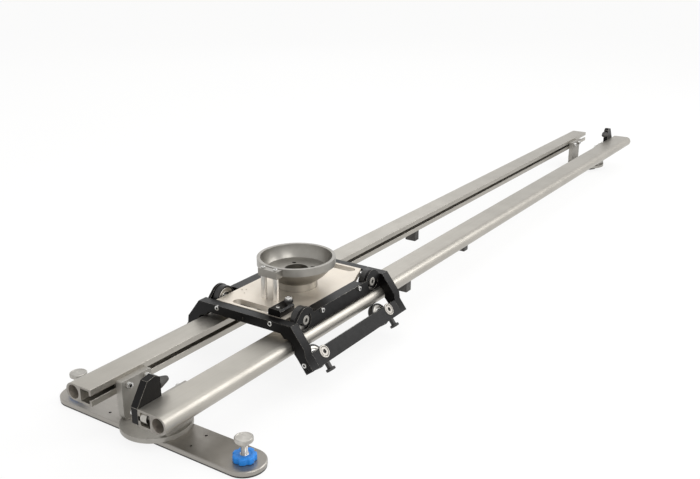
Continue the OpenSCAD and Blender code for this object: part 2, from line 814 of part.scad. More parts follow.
// Outline of an upper side bar, from the carriage's centre: a flat bar, humps over the wheels,
// and lobes that reach down to the axles inside round windows
module side_outline() {
    shoulder = [axle_in, side_top - side_step_h - axle_z];
    a_out = tangent_angle(shoulder, hump_r, 1);
    difference() {
        union() {
            translate([-deck_end, rail_top + side_low])
                square([2 * deck_end, side_top - side_step_h - rail_top - side_low]);
            translate([-deck_end + side_step_len, rail_top + side_low])
                square([2 * (deck_end - side_step_len), side_top - rail_top - side_low]);
            for (s = [-1, 1]) translate([s * axle_x, axle_z]) {
                circle(r = hump_r);
                on_end(s) polygon([shoulder, hump_r * [cos(a_out), sin(a_out)], [0, 0]]);
            }
        }
        for (s = [-1, 1]) translate([s * axle_x, axle_z]) on_end(s) window_outline();
        translate([-deck_end - cut, 0]) square([2 * (deck_end + cut), rail_top + side_low]);
    }
}

// How far above and below the axle a window ends: on the carriage's inner side, and outside
window_inner_top = 10;
window_outer_top = -2;

// Crescent around a far axle through which the wheel's face shows; it reaches higher on the
// side of the carriage's centre
module window_outline() {
    difference() {
        intersection() {
            translate([window_out, -1]) circle(r = window_r);
            union() {
                translate([-wheel_r, -wheel_r]) square([wheel_r, wheel_r + window_inner_top]);
                translate([-cut, -wheel_r]) square([wheel_r + cut, wheel_r + window_outer_top]);
            }
        }
        circle(r = lobe_r);
    }
}

module side_bar(side) {
    color("black") on_side(side) difference() {
        union() {
            translate([cx, 0, 0]) along_y(side_in, side_out) side_outline();
            translate([cx - spacer_half, deck_w / 2, rail_top + side_low])
                cube([2 * spacer_half, side_in - deck_w / 2, side_top - rail_top - side_low]);
        }
        for (s = [-1, 1]) translate([cx + s * axle_x, 0, axle_z]) {
            rod_y(side_in - cut, side_out + cut, axle_r + screw_fit);
            rod_y(side_out - upper_head_sink, side_out + cut, upper_head_r + screw_fit);
        }
        for (s = [-1, 1]) translate([cx + s * side_screw_x, 0, arm_screw_z]) {
            rod_y(deck_w / 2 - cut, side_out + cut, small_r + screw_fit);
            rod_y(side_out - side_head_sink, side_out + cut, small_head_r + screw_fit);
        }
    }
}

upper_head_sink = 2;
upper_head_t = 2.6;
head_dimple = 0.8;
upper_dimple_r = 1.8;
lower_dimple_r = 2.2;
lower_head_sink = 1.5;
lower_head_t = 3;
clip_r = 7.5;
clip_t = 1.6;
collar_r = 7;

module upper_axles() {
    inner = upper_y - wheel_w / 2 - side_play;
    color("silver") for (s = [-1, 1]) for (side = [left, right]) on_side(side)
        translate([cx + s * axle_x, 0, axle_z]) difference() {
            union() {
                rod_y(inner - clip_t, side_out - upper_head_sink, axle_r);
                rod_y(inner - clip_t, inner, clip_r);
                rod_y(side_out - upper_head_sink, side_out - upper_head_sink + upper_head_t, upper_head_r);
                rod_y(side_in - side_gap + side_play, side_in, collar_r);
            }
            rod_y(side_out - upper_head_sink + head_dimple, side_out + upper_head_t, upper_dimple_r);
        }
}

module lower_axles() {
    inner = -wheel_w / 2 - side_play;
    head = bar_out - lower_head_sink;
    color("silver") for (s = [-1, 1]) for (side = [left, right]) on_side(side) difference() {
        union() {
            lower_rod(cx + s * axle_x, wheel_e, inner - clip_t, head, axle_r);
            lower_rod(cx + s * axle_x, wheel_e, inner - clip_t, inner, clip_r);
            lower_rod(cx + s * axle_x, wheel_e, wheel_w / 2 + side_play, bar_in, collar_r);
            lower_rod(cx + s * axle_x, wheel_e, head, head + lower_head_t, lower_head_r);
        }
        lower_rod(cx + s * axle_x, wheel_e, head + head_dimple, head + lower_head_t + cut, lower_dimple_r);
    }
}

pin_r = 4;
dowel_bite = 8;

module lower_bar(side) {
    color("black") on_side(side) difference() {
        at_lower(cx) translate([-deck_end, bar_start, bar_in])
            cube([2 * deck_end, bar_end - bar_start, bar_t]);
        for (s = [-1, 1]) {
            lower_rod(cx + s * axle_x, wheel_e, bar_in - cut, bar_out + cut, axle_r + screw_fit);
            lower_rod(cx + s * axle_x, wheel_e, bar_out - lower_head_sink, bar_out + cut,
                lower_head_r + screw_fit);
            pin_bore(cx + s * axle_x);
        }
        for (end = [near, far]) {
            bar_end_bore(end, bar_bolt, small_r + screw_fit, arm_screw_bite);
            bar_end_bore(end, bar_dowel, dowel_r, dowel_bite);
        }
    }
}

module pin_bore(x) {
    at_lower(x) translate([0, wheel_e + axle_r, (bar_in + bar_out) / 2]) rotate([-90, 0, 0])
        cylinder(h = bar_end - wheel_e, r = pin_r + run_fit);
}

module bar_end_bore(end, place, r, depth) {
    p = beside(place[0], place[1]);
    translate([cx + end * deck_end, p[0], p[1]]) rod_x(-depth, depth, r);
}

// Identical small socket screws: arms to platform and lower bars, side bars to platform
module frame_screws() {
    leg = beside(bar_bolt[0], bar_bolt[1]);
    color("gainsboro") for (side = [left, right]) on_side(side) {
        for (end = [near, far]) for (p = [[arm_screw_y, arm_screw_z], leg])
            translate([cx + end * (deck_end + arm_t - head_sink), p[0], p[1]]) rotate([0, end * 90, 0])
                socket_screw(small_head_r, small_head_h, small_r, arm_t - head_sink + arm_screw_bite - 1);
        for (s = [-1, 1]) translate([cx + s * side_screw_x, side_out - side_head_sink, arm_screw_z])
            socket_screw_y(small_head_r, small_head_h, small_r,
                side_out - side_head_sink - deck_w / 2 + side_screw_bite - 1);
    }
}

// Wheels: a turned hub and a black tyre on it

hub_r = wheel_r - tyre_t;
hub_web = 1.2;
// The shallow ring turned into a hub's faces, as shares of the hub's radius
ring_in = 0.58;
ring_out = 0.75;

module hub_turning() {
    half = wheel_w / 2;
    rotate_extrude() polygon([
        [axle_r + run_fit, -half], [hub_r * ring_in, -half], [hub_r * ring_in, -half + hub_web],
        [hub_r * ring_out, -half + hub_web], [hub_r * ring_out, -half], [hub_r, -half],
        [hub_r, half], [hub_r * ring_out, half], [hub_r * ring_out, half - hub_web],
        [hub_r * ring_in, half - hub_web], [hub_r * ring_in, half], [axle_r + run_fit, half]
    ]);
}

module tyre_turning() {
    half = wheel_w / 2;
    bevel = 1.2;
    rotate_extrude() polygon([
        [hub_r, -half], [wheel_r - bevel, -half], [wheel_r, -half + bevel],
        [wheel_r, half - bevel], [wheel_r - bevel, half], [hub_r, half]
    ]);
}

module at_upper_wheel(end, side) {
    on_side(side) translate([cx + end * axle_x, upper_y, axle_z]) rotate([90, 0, 0]) children();
}

module at_lower_wheel(end, side) {
    on_side(side) at_lower(cx + end * axle_x) translate([0, wheel_e, 0]) children();
}

module upper_wheel(end, side) {
    color("silver") at_upper_wheel(end, side) hub_turning();
}

module upper_tyre(end, side) {
    color("black") at_upper_wheel(end, side) tyre_turning();
}

module lower_wheel(end, side) {
    color("silver") at_lower_wheel(end, side) hub_turning();
}

module lower_tyre(end, side) {
    color("black") at_lower_wheel(end, side) tyre_turning();
}

// Sprung pin in a lower bar: its tip rests by the wheel axle, its knob is pulled outward
module pull_pin(end, side) {
    tip = wheel_e + axle_r + screw_fit + side_play;
    neck_h = pin_out - pin_knob_h;
    color("black") on_side(side) at_lower(cx + end * axle_x)
        translate([0, 0, (bar_in + bar_out) / 2]) rotate([-90, 0, 0]) {
            translate([0, 0, tip]) cylinder(h = bar_end - tip, r = pin_r);
            translate([0, 0, bar_end]) cylinder(h = neck_h, r = pin_neck_r);
            translate([0, 0, bar_end + neck_h]) cylinder(h = pin_knob_h - 1, r = pin_knob_r);
            translate([0, 0, bar_end + pin_out - 1]) cylinder(h = 1, r1 = pin_knob_r, r2 = pin_knob_r - 1);
        }
}

// Bowl adapter

// Half section of the bowl's outside: band, rounded underside and straight foot
module bowl_section() {
    foot_top = deck_top + bowl_foot_h;
    under_x = bowl_r - under_step - sqrt(under_r * under_r - under_up * under_up);
    translate([0, band_low]) square([bowl_r, band_h]);
    intersection() {
        translate([0, foot_top]) square([bowl_r, band_low - foot_top + cut]);
        translate([under_x, band_low + under_up]) circle(r = under_r, $fn = 96);
    }
    translate([0, deck_top]) square([bowl_foot_r, (band_low - deck_top) / 2]);
}

module bowl() {
    floor_z = bowl_rim - seat_low;
    color("gray") translate([cx, 0, 0]) difference() {
        rotate_extrude() bowl_section();
        intersection() {
            translate([0, 0, bowl_rim + ball_up]) sphere(r = ball_r, $fn = 96);
            translate([0, 0, floor_z]) cylinder(h = seat_low + cut, r = bowl_r);
        }
        translate([0, 0, deck_top - cut]) cylinder(h = bowl_h, r = bowl_hole_r);
        at_bowl_screws() {
            translate([0, 0, deck_top - cut]) cylinder(h = bowl_foot_h + 2 * cut, r = tiny_r + screw_fit);
            translate([0, 0, deck_top + bowl_foot_h]) cylinder(h = bowl_h, r = tiny_head_r + side_play);
        }
    }
}

// The foot's four screws, set between the carriage's axes
module at_bowl_screws() {
    for (i = [0 : 3]) rotate([0, 0, 45 + 90 * i]) translate([bowl_screw_pcd_r, 0, 0]) children();
}

post_x = cx - bowl_r - block_front / 2;
post_peg = 6;
post_peg_r = 3;
block_screw_bite = 12;
// Height of a low screw head as a share of a full one
low_head = 0.6;

// The smallest socket screws: in the bowl's foot, the clamp block and the brake block
module bowl_screws() {
    color("gainsboro") {
        translate([cx, 0, deck_top + bowl_foot_h]) at_bowl_screws()
            socket_screw(tiny_head_r, tiny_head_h, tiny_r, bowl_foot_h + deck_t - 2);
        for (s = [-1, 1]) translate([post_x, s * post_y, bowl_rim - 1])
            socket_screw(tiny_head_r, tiny_head_h * low_head, tiny_r, band_h + block_screw_bite - 2);
        translate([brake_bolt_x, brake_bolt_y, brake_top])
            socket_screw(tiny_head_r, tiny_head_h * low_head, tiny_r, brake_h + brake_bolt_bite);
    }
}

// How far the clamp block's sides reach round the band
block_hug = 24;

// Block that hugs the bowl's band on top of the two posts
module bowl_block() {
    x0 = cx - bowl_r - block_front;
    color("dimgray") difference() {
        translate([x0, -block_w / 2, band_low - 1]) cube([block_front + block_hug, block_w, band_h]);
        translate([cx, 0, band_low - 2]) cylinder(h = band_h + 4, r = bowl_r + screw_fit);
        for (s = [-1, 1]) translate([post_x, s * post_y, band_low - 2])
            cylinder(h = band_h + 4, r = tiny_r + screw_fit);
    }
}

module bowl_posts() {
    color("silver") for (s = [-1, 1]) translate([post_x, s * post_y, 0]) difference() {
        union() {
            translate([0, 0, deck_top]) cylinder(h = band_low - 1 - deck_top, r = post_r);
            translate([0, 0, deck_top - post_peg + side_play]) cylinder(h = post_peg, r = post_peg_r);
        }
        translate([0, 0, band_low - 1 - block_screw_bite])
            cylinder(h = block_screw_bite + cut, r = tiny_r + screw_fit);
    }
}

// Brake

// How far past the near axles the brake screw stands
brake_past = 4.5;
// Depth of the fixing screw in the platform, above the screws from the near arm
brake_bolt_bite = 2.5;
// How far the block is moved from the brake screw toward the middle
brake_shift = 6;
// How far the shank sits in the pad
pad_seat = 4;
brake_x = cx - axle_x + brake_past;
brake_y = -rail_in - brake_in;
brake_shank_r = 4;
// Where the block's own fixing screw stands
brake_bolt_x = cx - deck_end + brake_bolt_in;
brake_bolt_y = brake_y + 4;
brake_top = deck_top + brake_h;

module brake_block() {
    x0 = cx - deck_end;
    color("black") difference() {
        translate([x0, brake_y - brake_w / 2 + brake_shift, deck_top]) brake_body();
        translate([brake_x, brake_y, deck_top - cut])
            cylinder(h = brake_h + 2 * cut, r = brake_shank_r + run_fit);
        translate([brake_bolt_x, brake_bolt_y, deck_top - cut])
            cylinder(h = brake_h + 2 * cut, r = tiny_r + screw_fit);
    }
}

// Block with its upper long edges bevelled
module brake_body() {
    bevel = 3;
    rotate([90, 0, 90]) linear_extrude(brake_len) polygon([
        [0, 0], [brake_w, 0], [brake_w, brake_h - bevel], [brake_w - bevel, brake_h],
        [bevel, brake_h], [0, brake_h - bevel]
    ]);
}

module brake_pad() {
    color("dimgray") translate([brake_x, brake_y, rail_top + brake_gap]) difference() {
        cylinder(h = brake_pad_h, r = brake_pad_r);
        translate([0, 0, brake_pad_h - pad_seat]) cylinder(h = pad_seat + cut, r = brake_shank_r + run_fit);
    }
}

// Thumb screw: shank down to the pad, dark collar and bright cap
module brake_screw() {
    shank_low = rail_top + brake_gap + brake_pad_h - pad_seat + side_play;
    collar_low = brake_top + brake_gap + 1;
    cap_low = collar_low + brake_collar_h;
    color("silver") translate([brake_x, brake_y, 0]) {
        translate([0, 0, shank_low]) cylinder(h = collar_low - shank_low, r = brake_shank_r);
        translate([0, 0, collar_low]) cylinder(h = brake_collar_h, r = brake_collar_r);
        translate([0, 0, cap_low]) cylinder(h = brake_cap_h - 1, r = brake_cap_r);
        translate([0, 0, cap_low + brake_cap_h - 1]) cylinder(h = 1, r1 = brake_cap_r, r2 = brake_cap_r - 1);
    }
}

rail(left);  // rail_left
rail(right);  // rail_right
bracket(near_x);  // near_bracket
bracket(far_x);  // far_bracket
slot_nuts();
stop_nuts();
slot_screws();
stop(near);  // near_stop
stop(far);  // far_stop
stop_buffers();
rest_pads();
far_foot();
base_plate();
base_pad();
pivot_bolt();
levelling_foot(left);  // levelling_foot_left
levelling_foot(right);  // levelling_foot_right
levelling_screw(left);  // levelling_screw_left
levelling_screw(right);  // levelling_screw_right
lock_knob(left);  // lock_knob_left
lock_knob(right);  // lock_knob_right
platform();
arm(near);  // near_arm
arm(far);  // far_arm
side_bar(left);  // side_bar_left
side_bar(right);  // side_bar_right
lower_bar(left);  // lower_bar_left
lower_bar(right);  // lower_bar_right
upper_axles();
lower_axles();
frame_screws();
bowl();
bowl_screws();
bowl_block();
bowl_posts();
brake_block();
brake_pad();
brake_screw();
upper_wheel(near, left);  // upper_wheel_near_left
upper_wheel(near, right);  // upper_wheel_near_right
upper_wheel(far, left);  // upper_wheel_far_left
upper_wheel(far, right);  // upper_wheel_far_right
lower_wheel(near, left);  // lower_wheel_near_left
lower_wheel(near, right);  // lower_wheel_near_right
lower_wheel(far, left);  // lower_wheel_far_left
lower_wheel(far, right);  // lower_wheel_far_right
upper_tyre(near, left);  // upper_tyre_near_left
upper_tyre(near, right);  // upper_tyre_near_right
upper_tyre(far, left);  // upper_tyre_far_left
upper_tyre(far, right);  // upper_tyre_far_right
lower_tyre(near, left);  // lower_tyre_near_left
lower_tyre(near, right);  // lower_tyre_near_right
lower_tyre(far, left);  // lower_tyre_far_left
lower_tyre(far, right);  // lower_tyre_far_right
pull_pin(near, left);  // pull_pin_near_left
pull_pin(near, right);  // pull_pin_near_right
pull_pin(far, left);  // pull_pin_far_left
pull_pin(far, right);  // pull_pin_far_right
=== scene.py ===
"""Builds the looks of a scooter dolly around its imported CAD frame."""
import json
from math import asin, atan2, cos, pi, radians, sin

import bmesh
import bpy
from mathutils import Matrix, Vector

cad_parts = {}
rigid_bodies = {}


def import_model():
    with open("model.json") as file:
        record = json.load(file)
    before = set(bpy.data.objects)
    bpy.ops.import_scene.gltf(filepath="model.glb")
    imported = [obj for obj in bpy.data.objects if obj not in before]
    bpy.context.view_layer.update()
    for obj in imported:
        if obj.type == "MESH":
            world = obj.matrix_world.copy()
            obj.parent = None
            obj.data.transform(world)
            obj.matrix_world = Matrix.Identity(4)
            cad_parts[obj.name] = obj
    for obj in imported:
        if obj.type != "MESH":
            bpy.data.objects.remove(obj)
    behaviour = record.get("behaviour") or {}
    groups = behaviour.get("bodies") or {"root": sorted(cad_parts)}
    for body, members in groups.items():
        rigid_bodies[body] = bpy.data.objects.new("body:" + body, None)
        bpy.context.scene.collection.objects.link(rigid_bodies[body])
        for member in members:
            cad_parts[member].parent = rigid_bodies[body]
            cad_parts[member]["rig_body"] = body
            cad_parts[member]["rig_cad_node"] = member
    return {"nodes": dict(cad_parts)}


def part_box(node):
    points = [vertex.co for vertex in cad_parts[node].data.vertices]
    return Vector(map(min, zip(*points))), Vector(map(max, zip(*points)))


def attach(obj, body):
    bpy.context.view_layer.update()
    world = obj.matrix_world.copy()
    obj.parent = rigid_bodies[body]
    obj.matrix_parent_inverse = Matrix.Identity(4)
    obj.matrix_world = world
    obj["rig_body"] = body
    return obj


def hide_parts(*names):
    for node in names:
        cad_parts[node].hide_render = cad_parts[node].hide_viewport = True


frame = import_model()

bl_info = {
    "name": "Scooter dolly",
    "version": (1, 0, 0),
    "blender": (4, 5, 0),
    "location": "View3D > Sidebar > Scooter dolly",
    "description": "Dresses a camera dolly and its two-rail track with real finishes",
    "category": "Object",
}

MM = 0.001
# Which way along Y and X each side and end lies
SIDES = {"left": 1, "right": -1}
ENDS = {"near": -1, "far": 1}
# The carriage's corners: name, and which way along X and Y each lies
CORNERS = [(f"{end}_{side}", e, s) for end, e in ENDS.items() for side, s in SIDES.items()]
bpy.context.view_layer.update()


def span(node):
    """A CAD node's lowest and highest corners in millimetres."""
    low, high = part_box(node)
    return low / MM, high / MM


def middle(node):
    low, high = span(node)
    return (low + high) / 2


# Places that the CAD frame gives, in millimetres
CARRIAGE_X = middle("platform").x
DECK_LOW, DECK_TOP = (corner.z for corner in span("platform"))
RAIL_LOW, RAIL_TOP = (corner.z for corner in span("rail_right"))
RAIL_MID = (RAIL_LOW + RAIL_TOP) / 2
RAIL_IN = span("rail_left")[0].y
RAIL_ROUND_Y = span("rail_left")[1].y - (RAIL_TOP - RAIL_LOW) / 2
# How far outside the rail's bore centre its round side's centre lies
BORE_IN = 2
# A lower bar's inner and outer face, along the lower axles from the rail round's centre
BAR_IN, BAR_OUT = 15.2, 32.2
# Radius of the axles, and of the clip and collar on them, which stand off the wheels by RUN_GAP
AXLE_R, CLIP_R, COLLAR_R, RUN_GAP = 5, 7.5, 7, 0.25
# Head radius, head height and shank radius of the screws; M5_LOW has a low head
M8 = 6.5, 8, 4
M6 = 5, 6, 3
M5 = 4.25, 5, 2.5
M5_LOW = 4.25, 3, 2.5
NEAR_X, FAR_X = (middle(f"{end}_bracket").x for end in ENDS)
LEVEL_Y = middle("lock_knob_left").y
UPPER_AXLE = middle("upper_wheel_far_left")
WHEEL_R = span("upper_tyre_far_left")[1].z - UPPER_AXLE.z
WHEEL_HALF = span("upper_wheel_far_left")[1].y - UPPER_AXLE.y
LOWER_AXLE = middle("lower_wheel_far_left")
AXLE_X = UPPER_AXLE.x - CARRIAGE_X
WHEEL_TILT = asin((LOWER_AXLE.y - RAIL_ROUND_Y) / ((LOWER_AXLE.y - RAIL_ROUND_Y) ** 2
                                                   + (RAIL_MID - LOWER_AXLE.z) ** 2) ** 0.5)


def linear(code):
    """An sRGB hex code as linear red, green, blue and alpha."""
    parts = [int(code[i:i + 2], 16) / 255 for i in (1, 3, 5)]
    straight = [c / 12.92 if c <= 0.04045 else ((c + 0.055) / 1.055) ** 2.4 for c in parts]
    return (*straight, 1.0)


def detail_width(name, description, default, low, high):
    """A small length that the panel shows."""
    return bpy.props.FloatProperty(
        name=name, description=description, default=default, min=low, max=high, precision=5,
        subtype="DISTANCE", unit="LENGTH")


def finish_colour(name, description, code):
    """A colour that the panel shows, from its hex code."""
    return bpy.props.FloatVectorProperty(
        name=name, description=description, default=linear(code), size=4, min=0, max=1,
        subtype="COLOR")


class DollySizes(bpy.types.PropertyGroup):
    """Sizes of the visible details."""
    edge: detail_width(
        "Black edge", "Width of the broken edges on the carriage's black plates",
        0.0007, 0.0001, 0.002)
    rail_edge: detail_width(
        "Rail edge", "Width of the rounded edges of the extruded rails", 0.0006, 0.0001, 0.0015)
    knurl_count: bpy.props.IntProperty(
        name="Knurls", description="Number of knurls round a levelling screw's head",
        default=60, min=24, max=96)
    knurl_depth: detail_width(
        "Knurl depth", "Depth of the knurls on a levelling screw's head", 0.00045, 0.0001, 0.0008)
    thread_pitch: detail_width(
        "Thread pitch", "Pitch of the levelling screws' thread", 0.0015, 0.0005, 0.003)
    star_lobes: bpy.props.IntProperty(
        name="Star lobes", description="Number of lobes round a lock knob", default=7, min=5, max=9)


class DollyColours(bpy.types.PropertyGroup):
    """Colours of the finishes, as they look under white light."""
    rail: finish_colour("Rail", "Champagne anodising on the rails", "#AFABA3")
    bracket: finish_colour("Bracket", "Light grey anodising on the brackets", "#A5A29C")
    base: finish_colour("Base plate", "Dark grey anodising on the base plate", "#A09C96")
    platform: finish_colour("Platform", "Clear anodising on the platform", "#DDD5C9")
    bowl: finish_colour("Bowl", "Grey anodising on the bowl and its clamp block", "#96938D")
    black: finish_colour("Black", "Black anodising on arms, bars and stops", "#080707")
    knob: finish_colour("Knob", "Moulded nylon of the lock knobs", "#2583DA")
    floor: finish_colour("Floor", "Studio floor", "#F2F1EF")


class StageSettings(bpy.types.PropertyGroup):
    """Camera of the stage."""
    azimuth: bpy.props.FloatProperty(
        name="Camera azimuth", description="Direction of the camera round the object",
        default=radians(-56.463), subtype="ANGLE", unit="ROTATION")
    elevation: bpy.props.FloatProperty(
        name="Camera elevation", description="Angle of the camera above the horizon",
        default=radians(19.181), subtype="ANGLE", unit="ROTATION")
    place: bpy.props.FloatVectorProperty(
        name="Camera place", description="Where the camera stands", size=3, precision=5,
        default=(-2.05506, -1.01834, 0.81689), subtype="TRANSLATION", unit="LENGTH")
    lens: bpy.props.FloatProperty(
        name="Lens", description="Focal length in millimetres on a 36 mm wide sensor",
        default=44.7812, min=10.0)


def sizes():
    return bpy.context.scene.dolly_sizes


def colours():
    return bpy.context.scene.dolly_colours


def node(tree, kind, links=None, values=None, **settings):
    """Adds a shader node with its settings and socket values, and links outputs to its sockets."""
    made = tree.nodes.new("ShaderNode" + kind)
    for key, value in settings.items():
        setattr(made, key, value)
    for key, value in (values or {}).items():
        made.inputs[key].default_value = value
    for key, output in (links or {}).items():
        tree.links.new(output, made.inputs[key])
    return made


def around(colour, *factors):
    """That colour made darker or lighter by each of the factors."""
    return [(*(min(1.0, c * factor) for c in colour[:3]), 1.0) for factor in factors]


def grained(name, dark, light, rough, tone_mm, grain_mm, depth_mm, stretch=(1, 1, 1),
            stains=None, ior=None, detail=3.0, specular=None):
    """A material whose colour drifts between two tones over tone_mm, and whose grain, grain_mm
    apart and drawn out by stretch, roughens it between two values and lifts it by depth_mm.
    Faint stains, given as a width in millimetres and a factor, change the roughness too.
    A finish that is given an IOR isn't shaded as metal; the black anodising is one of them."""
    made = bpy.data.materials.new(name)
    made.use_nodes = True
    tree = made.node_tree
    shader = tree.nodes["Principled BSDF"]
    shader.inputs["Metallic"].default_value = 0.0 if ior else 1.0
    if ior:
        shader.inputs["IOR"].default_value = ior
    if specular is not None:
        shader.inputs["Specular IOR Level"].default_value = specular
    place = node(tree, "TexCoord").outputs["Object"]
    tone = node(tree, "TexNoise", {"Vector": place},
                {"Scale": 1 / (tone_mm * MM), "Detail": 2.0})
    colour = node(tree, "ValToRGB", {"Fac": tone.outputs["Fac"]}, label="tone")
    for stop, where, value in zip(colour.color_ramp.elements, (0.32, 0.68), (dark, light)):
        stop.position = where
        stop.color = value
    drawn = node(tree, "Mapping", {"Vector": place}, {"Scale": stretch})
    grain = node(tree, "TexNoise", {"Vector": drawn.outputs["Vector"]},
                 {"Scale": 1 / (grain_mm * MM), "Detail": detail}, label="grain")
    rub = node(tree, "MapRange", {"Value": grain.outputs["Fac"]},
               {"From Min": 0.3, "From Max": 0.7, "To Min": rough[0], "To Max": rough[1]},
               label="rub")
    lift = node(tree, "Bump", {"Height": grain.outputs["Fac"]},
                {"Distance": depth_mm * MM, "Strength": 1.0})
    if stains:
        stain_mm, factor = stains
        marks = node(tree, "TexNoise", {"Vector": place},
                     {"Scale": 1 / (stain_mm * MM), "Detail": 5.0, "Roughness": 0.6})
        share = node(tree, "MapRange", {"Value": marks.outputs["Fac"]},
                     {"From Min": 0.45, "From Max": 0.7, "To Min": 1.0, "To Max": factor})
        rub = node(tree, "Math", {0: rub.outputs["Result"], 1: share.outputs["Result"]},
                   operation="MULTIPLY")
    tree.links.new(colour.outputs["Color"], shader.inputs["Base Color"])
    tree.links.new(rub.outputs[0], shader.inputs["Roughness"])
    tree.links.new(lift.outputs["Normal"], shader.inputs["Normal"])
    return made


def extruded_aluminium():
    # Extruded aluminium, satin anodised: faint long die lines and a broad soft sheen. The real
    # lines are about 0.3 mm apart and are drawn 1.2 mm apart, so that they show.
    return grained("extruded aluminium, satin champagne anodised",
                   *around(colours().rail, 0.95, 1.04), (0.36, 0.46), 70.0, 1.2, 0.010,
                   (0.004, 1, 1), (45.0, 1.15))


def bracket_aluminium():
    # Milled aluminium, light grey anodised: an even satin face with a fine cross grain
    return grained("milled aluminium, grey anodised", *around(colours().bracket, 0.93, 1.05),
                   (0.50, 0.62), 30.0, 0.9, 0.012, (0.3, 1, 1), (20.0, 1.15))


def base_aluminium():
    # Aluminium bar, brushed lengthwise and anodised dark grey: fine lines across the track
    return grained("aluminium bar, brushed and dark grey anodised",
                   *around(colours().base, 0.92, 1.07), (0.33, 0.46), 60.0, 0.8, 0.014,
                   (1, 0.012, 1), (30.0, 1.25))


def platform_aluminium():
    # Aluminium plate, brushed along the track and clear anodised: silky with a warm sheen
    return grained("aluminium plate, brushed and clear anodised",
                   *around(colours().platform, 0.95, 1.04), (0.42, 0.54), 50.0, 0.8, 0.012,
                   (0.012, 1, 1), (25.0, 1.15))


def bowl_aluminium():
    # Cast aluminium, turned and grey anodised: a soft satin with hardly any grain
    return grained("cast aluminium, turned and grey anodised",
                   *around(colours().bowl, 0.94, 1.05), (0.30, 0.40), 24.0, 0.7, 0.010,
                   (0.3, 0.3, 1), (16.0, 1.2))


def black_aluminium():
    # Blasted aluminium, black anodised: a deep warm black with a fine grit of about 0.4 mm
    return grained("blasted aluminium, black anodised", *around(colours().black, 0.8, 1.5),
                   (0.26, 0.38), 25.0, 0.4, 0.006, stains=(14.0, 1.25), ior=1.5,
                   specular=0.16)


def painted_edge_highlight():
    # Grey painted along the black aluminium's broken edges: a painted highlight where the bevels
    # catch the light
    return grained("black anodised aluminium, edges painted grey as highlight", linear("#6E6961"),
                   linear("#B4AFA6"), (0.28, 0.40), 9.0, 0.5, 0.004)


def bright_steel():
    # Steel screws, zinc plated: bright and a little blue, with faint turning marks
    return grained("steel, bright zinc plated", linear("#BDBCB9"), linear("#DEDDDA"), (0.18, 0.28),
                   8.0, 0.8, 0.002)


def turned_aluminium_and_edge_highlight():
    # Aluminium turned on a lathe: bright faces with fine cutter marks, drawn 1.4 mm apart. On the
    # brackets' and the base plate's broken edges the same bright aluminium is a painted highlight
    return grained("aluminium, turned bright, also a painted edge highlight", linear("#A9A6A0"), linear("#BDBAB4"), (0.27, 0.35),
                   12.0, 1.4, 0.002)


def bore_painted_light():
    # The same extrusion inside its bore, matt and in a lighter colour, so that its mouth looks lit:
    # painted light
    return grained("extruded aluminium, matt inside its bore", linear("#A9A199"), linear("#CFCAC2"),
                   (0.55, 0.70), 20.0, 1.5, 0.010, (0.01, 1, 1))


def sawn_aluminium():
    # The same extrusion where it was sawn off: dull grey with fine saw marks, drawn 1.5 mm apart
    return grained("extruded aluminium, sawn off", linear("#86827C"), linear("#9C9892"),
                   (0.40, 0.52), 9.0, 1.5, 0.020, (1, 0.15, 1))


def painted_socket_shade():
    # The steel down a screw's socket and in an axle head's centre hole and groove, painted dark as
    # shade
    return grained("steel, painted dark as shade in sockets and grooves", linear("#1E1D1B"), linear("#35332F"),
                   (0.45, 0.60), 3.0, 0.6, 0.004, ior=1.5, specular=0.3)


def polished_steel():
    # Steel, ground and satin polished: posts with long soft reflections
    return grained("steel, ground and satin polished", linear("#DEDCD8"), linear("#F0EEEB"),
                   (0.30, 0.38), 10.0, 0.7, 0.004, (1, 1, 0.05))


def blue_nylon():
    # Nylon, injection moulded in blue: soft gloss with a barely visible orange peel
    return grained("nylon, moulded blue", *around(colours().knob, 0.88, 1.1), (0.26, 0.36), 14.0,
                   1.4, 0.020, ior=1.53, specular=0.35)


def black_nylon():
    # Nylon, injection moulded in black: spark-eroded texture about 0.9 mm apart, soft gloss
    return grained("nylon, moulded black", linear("#1B1A19"), linear("#2B2927"), (0.34, 0.46),
                   10.0, 0.9, 0.020, ior=1.53)


def dark_rubber():
    # Vulcanised rubber: matt dark grey, dusty in places, with a crumb of about 0.7 mm
    return grained("rubber, vulcanised dark grey", linear("#2A2826"), linear("#454340"),
                   (0.52, 0.72), 18.0, 0.7, 0.040, ior=1.52, detail=4.0)


def black_polyurethane():
    # Polyurethane cast onto the hubs: black and silky, with faint rolling dust
    return grained("polyurethane, cast black", linear("#151413"), linear("#2A2826"), (0.36, 0.52),
                   12.0, 0.8, 0.015, ior=1.5)


MADE = {}


def finish(make):
    """The material of that finish, made when it is first asked for."""
    if make not in MADE:
        MADE[make] = make()
    return MADE[make]


def release():
    """Leaves edit mode with nothing selected."""
    if bpy.context.object and bpy.context.object.mode != "OBJECT":
        bpy.ops.object.mode_set(mode="OBJECT")
    bpy.ops.object.select_all(action="DESELECT")


def take(obj):
    """Selects this object alone and makes it active."""
    release()
    obj.hide_viewport = False
    obj.select_set(True)
    bpy.context.view_layer.objects.active = obj
    return obj


def started(name):
    """Names the primitive that an operator has just added, selected alone."""
    obj = bpy.context.object
    obj.name = obj.data.name = name
    return obj


def edit_all():
    """Selects every corner of the piece in edit mode."""
    bpy.ops.object.mode_set(mode="EDIT")
    bpy.ops.mesh.select_mode(type="VERT")
    bpy.ops.mesh.select_all(action="SELECT")


def leave_edit():
    bpy.ops.object.mode_set(mode="OBJECT")


def extrude(out, up):
    """Extrudes what is selected, out along X and up, in millimetres."""
    bpy.ops.mesh.extrude_region_move(TRANSFORM_OT_translate={"value": (out * MM, 0, up * MM)})


def draw_in(share, height=0):
    """Scales what is selected to this share, about the axis at this height in millimetres."""
    bpy.ops.transform.resize(value=(share, share, 1), center_override=(0, 0, height * MM))


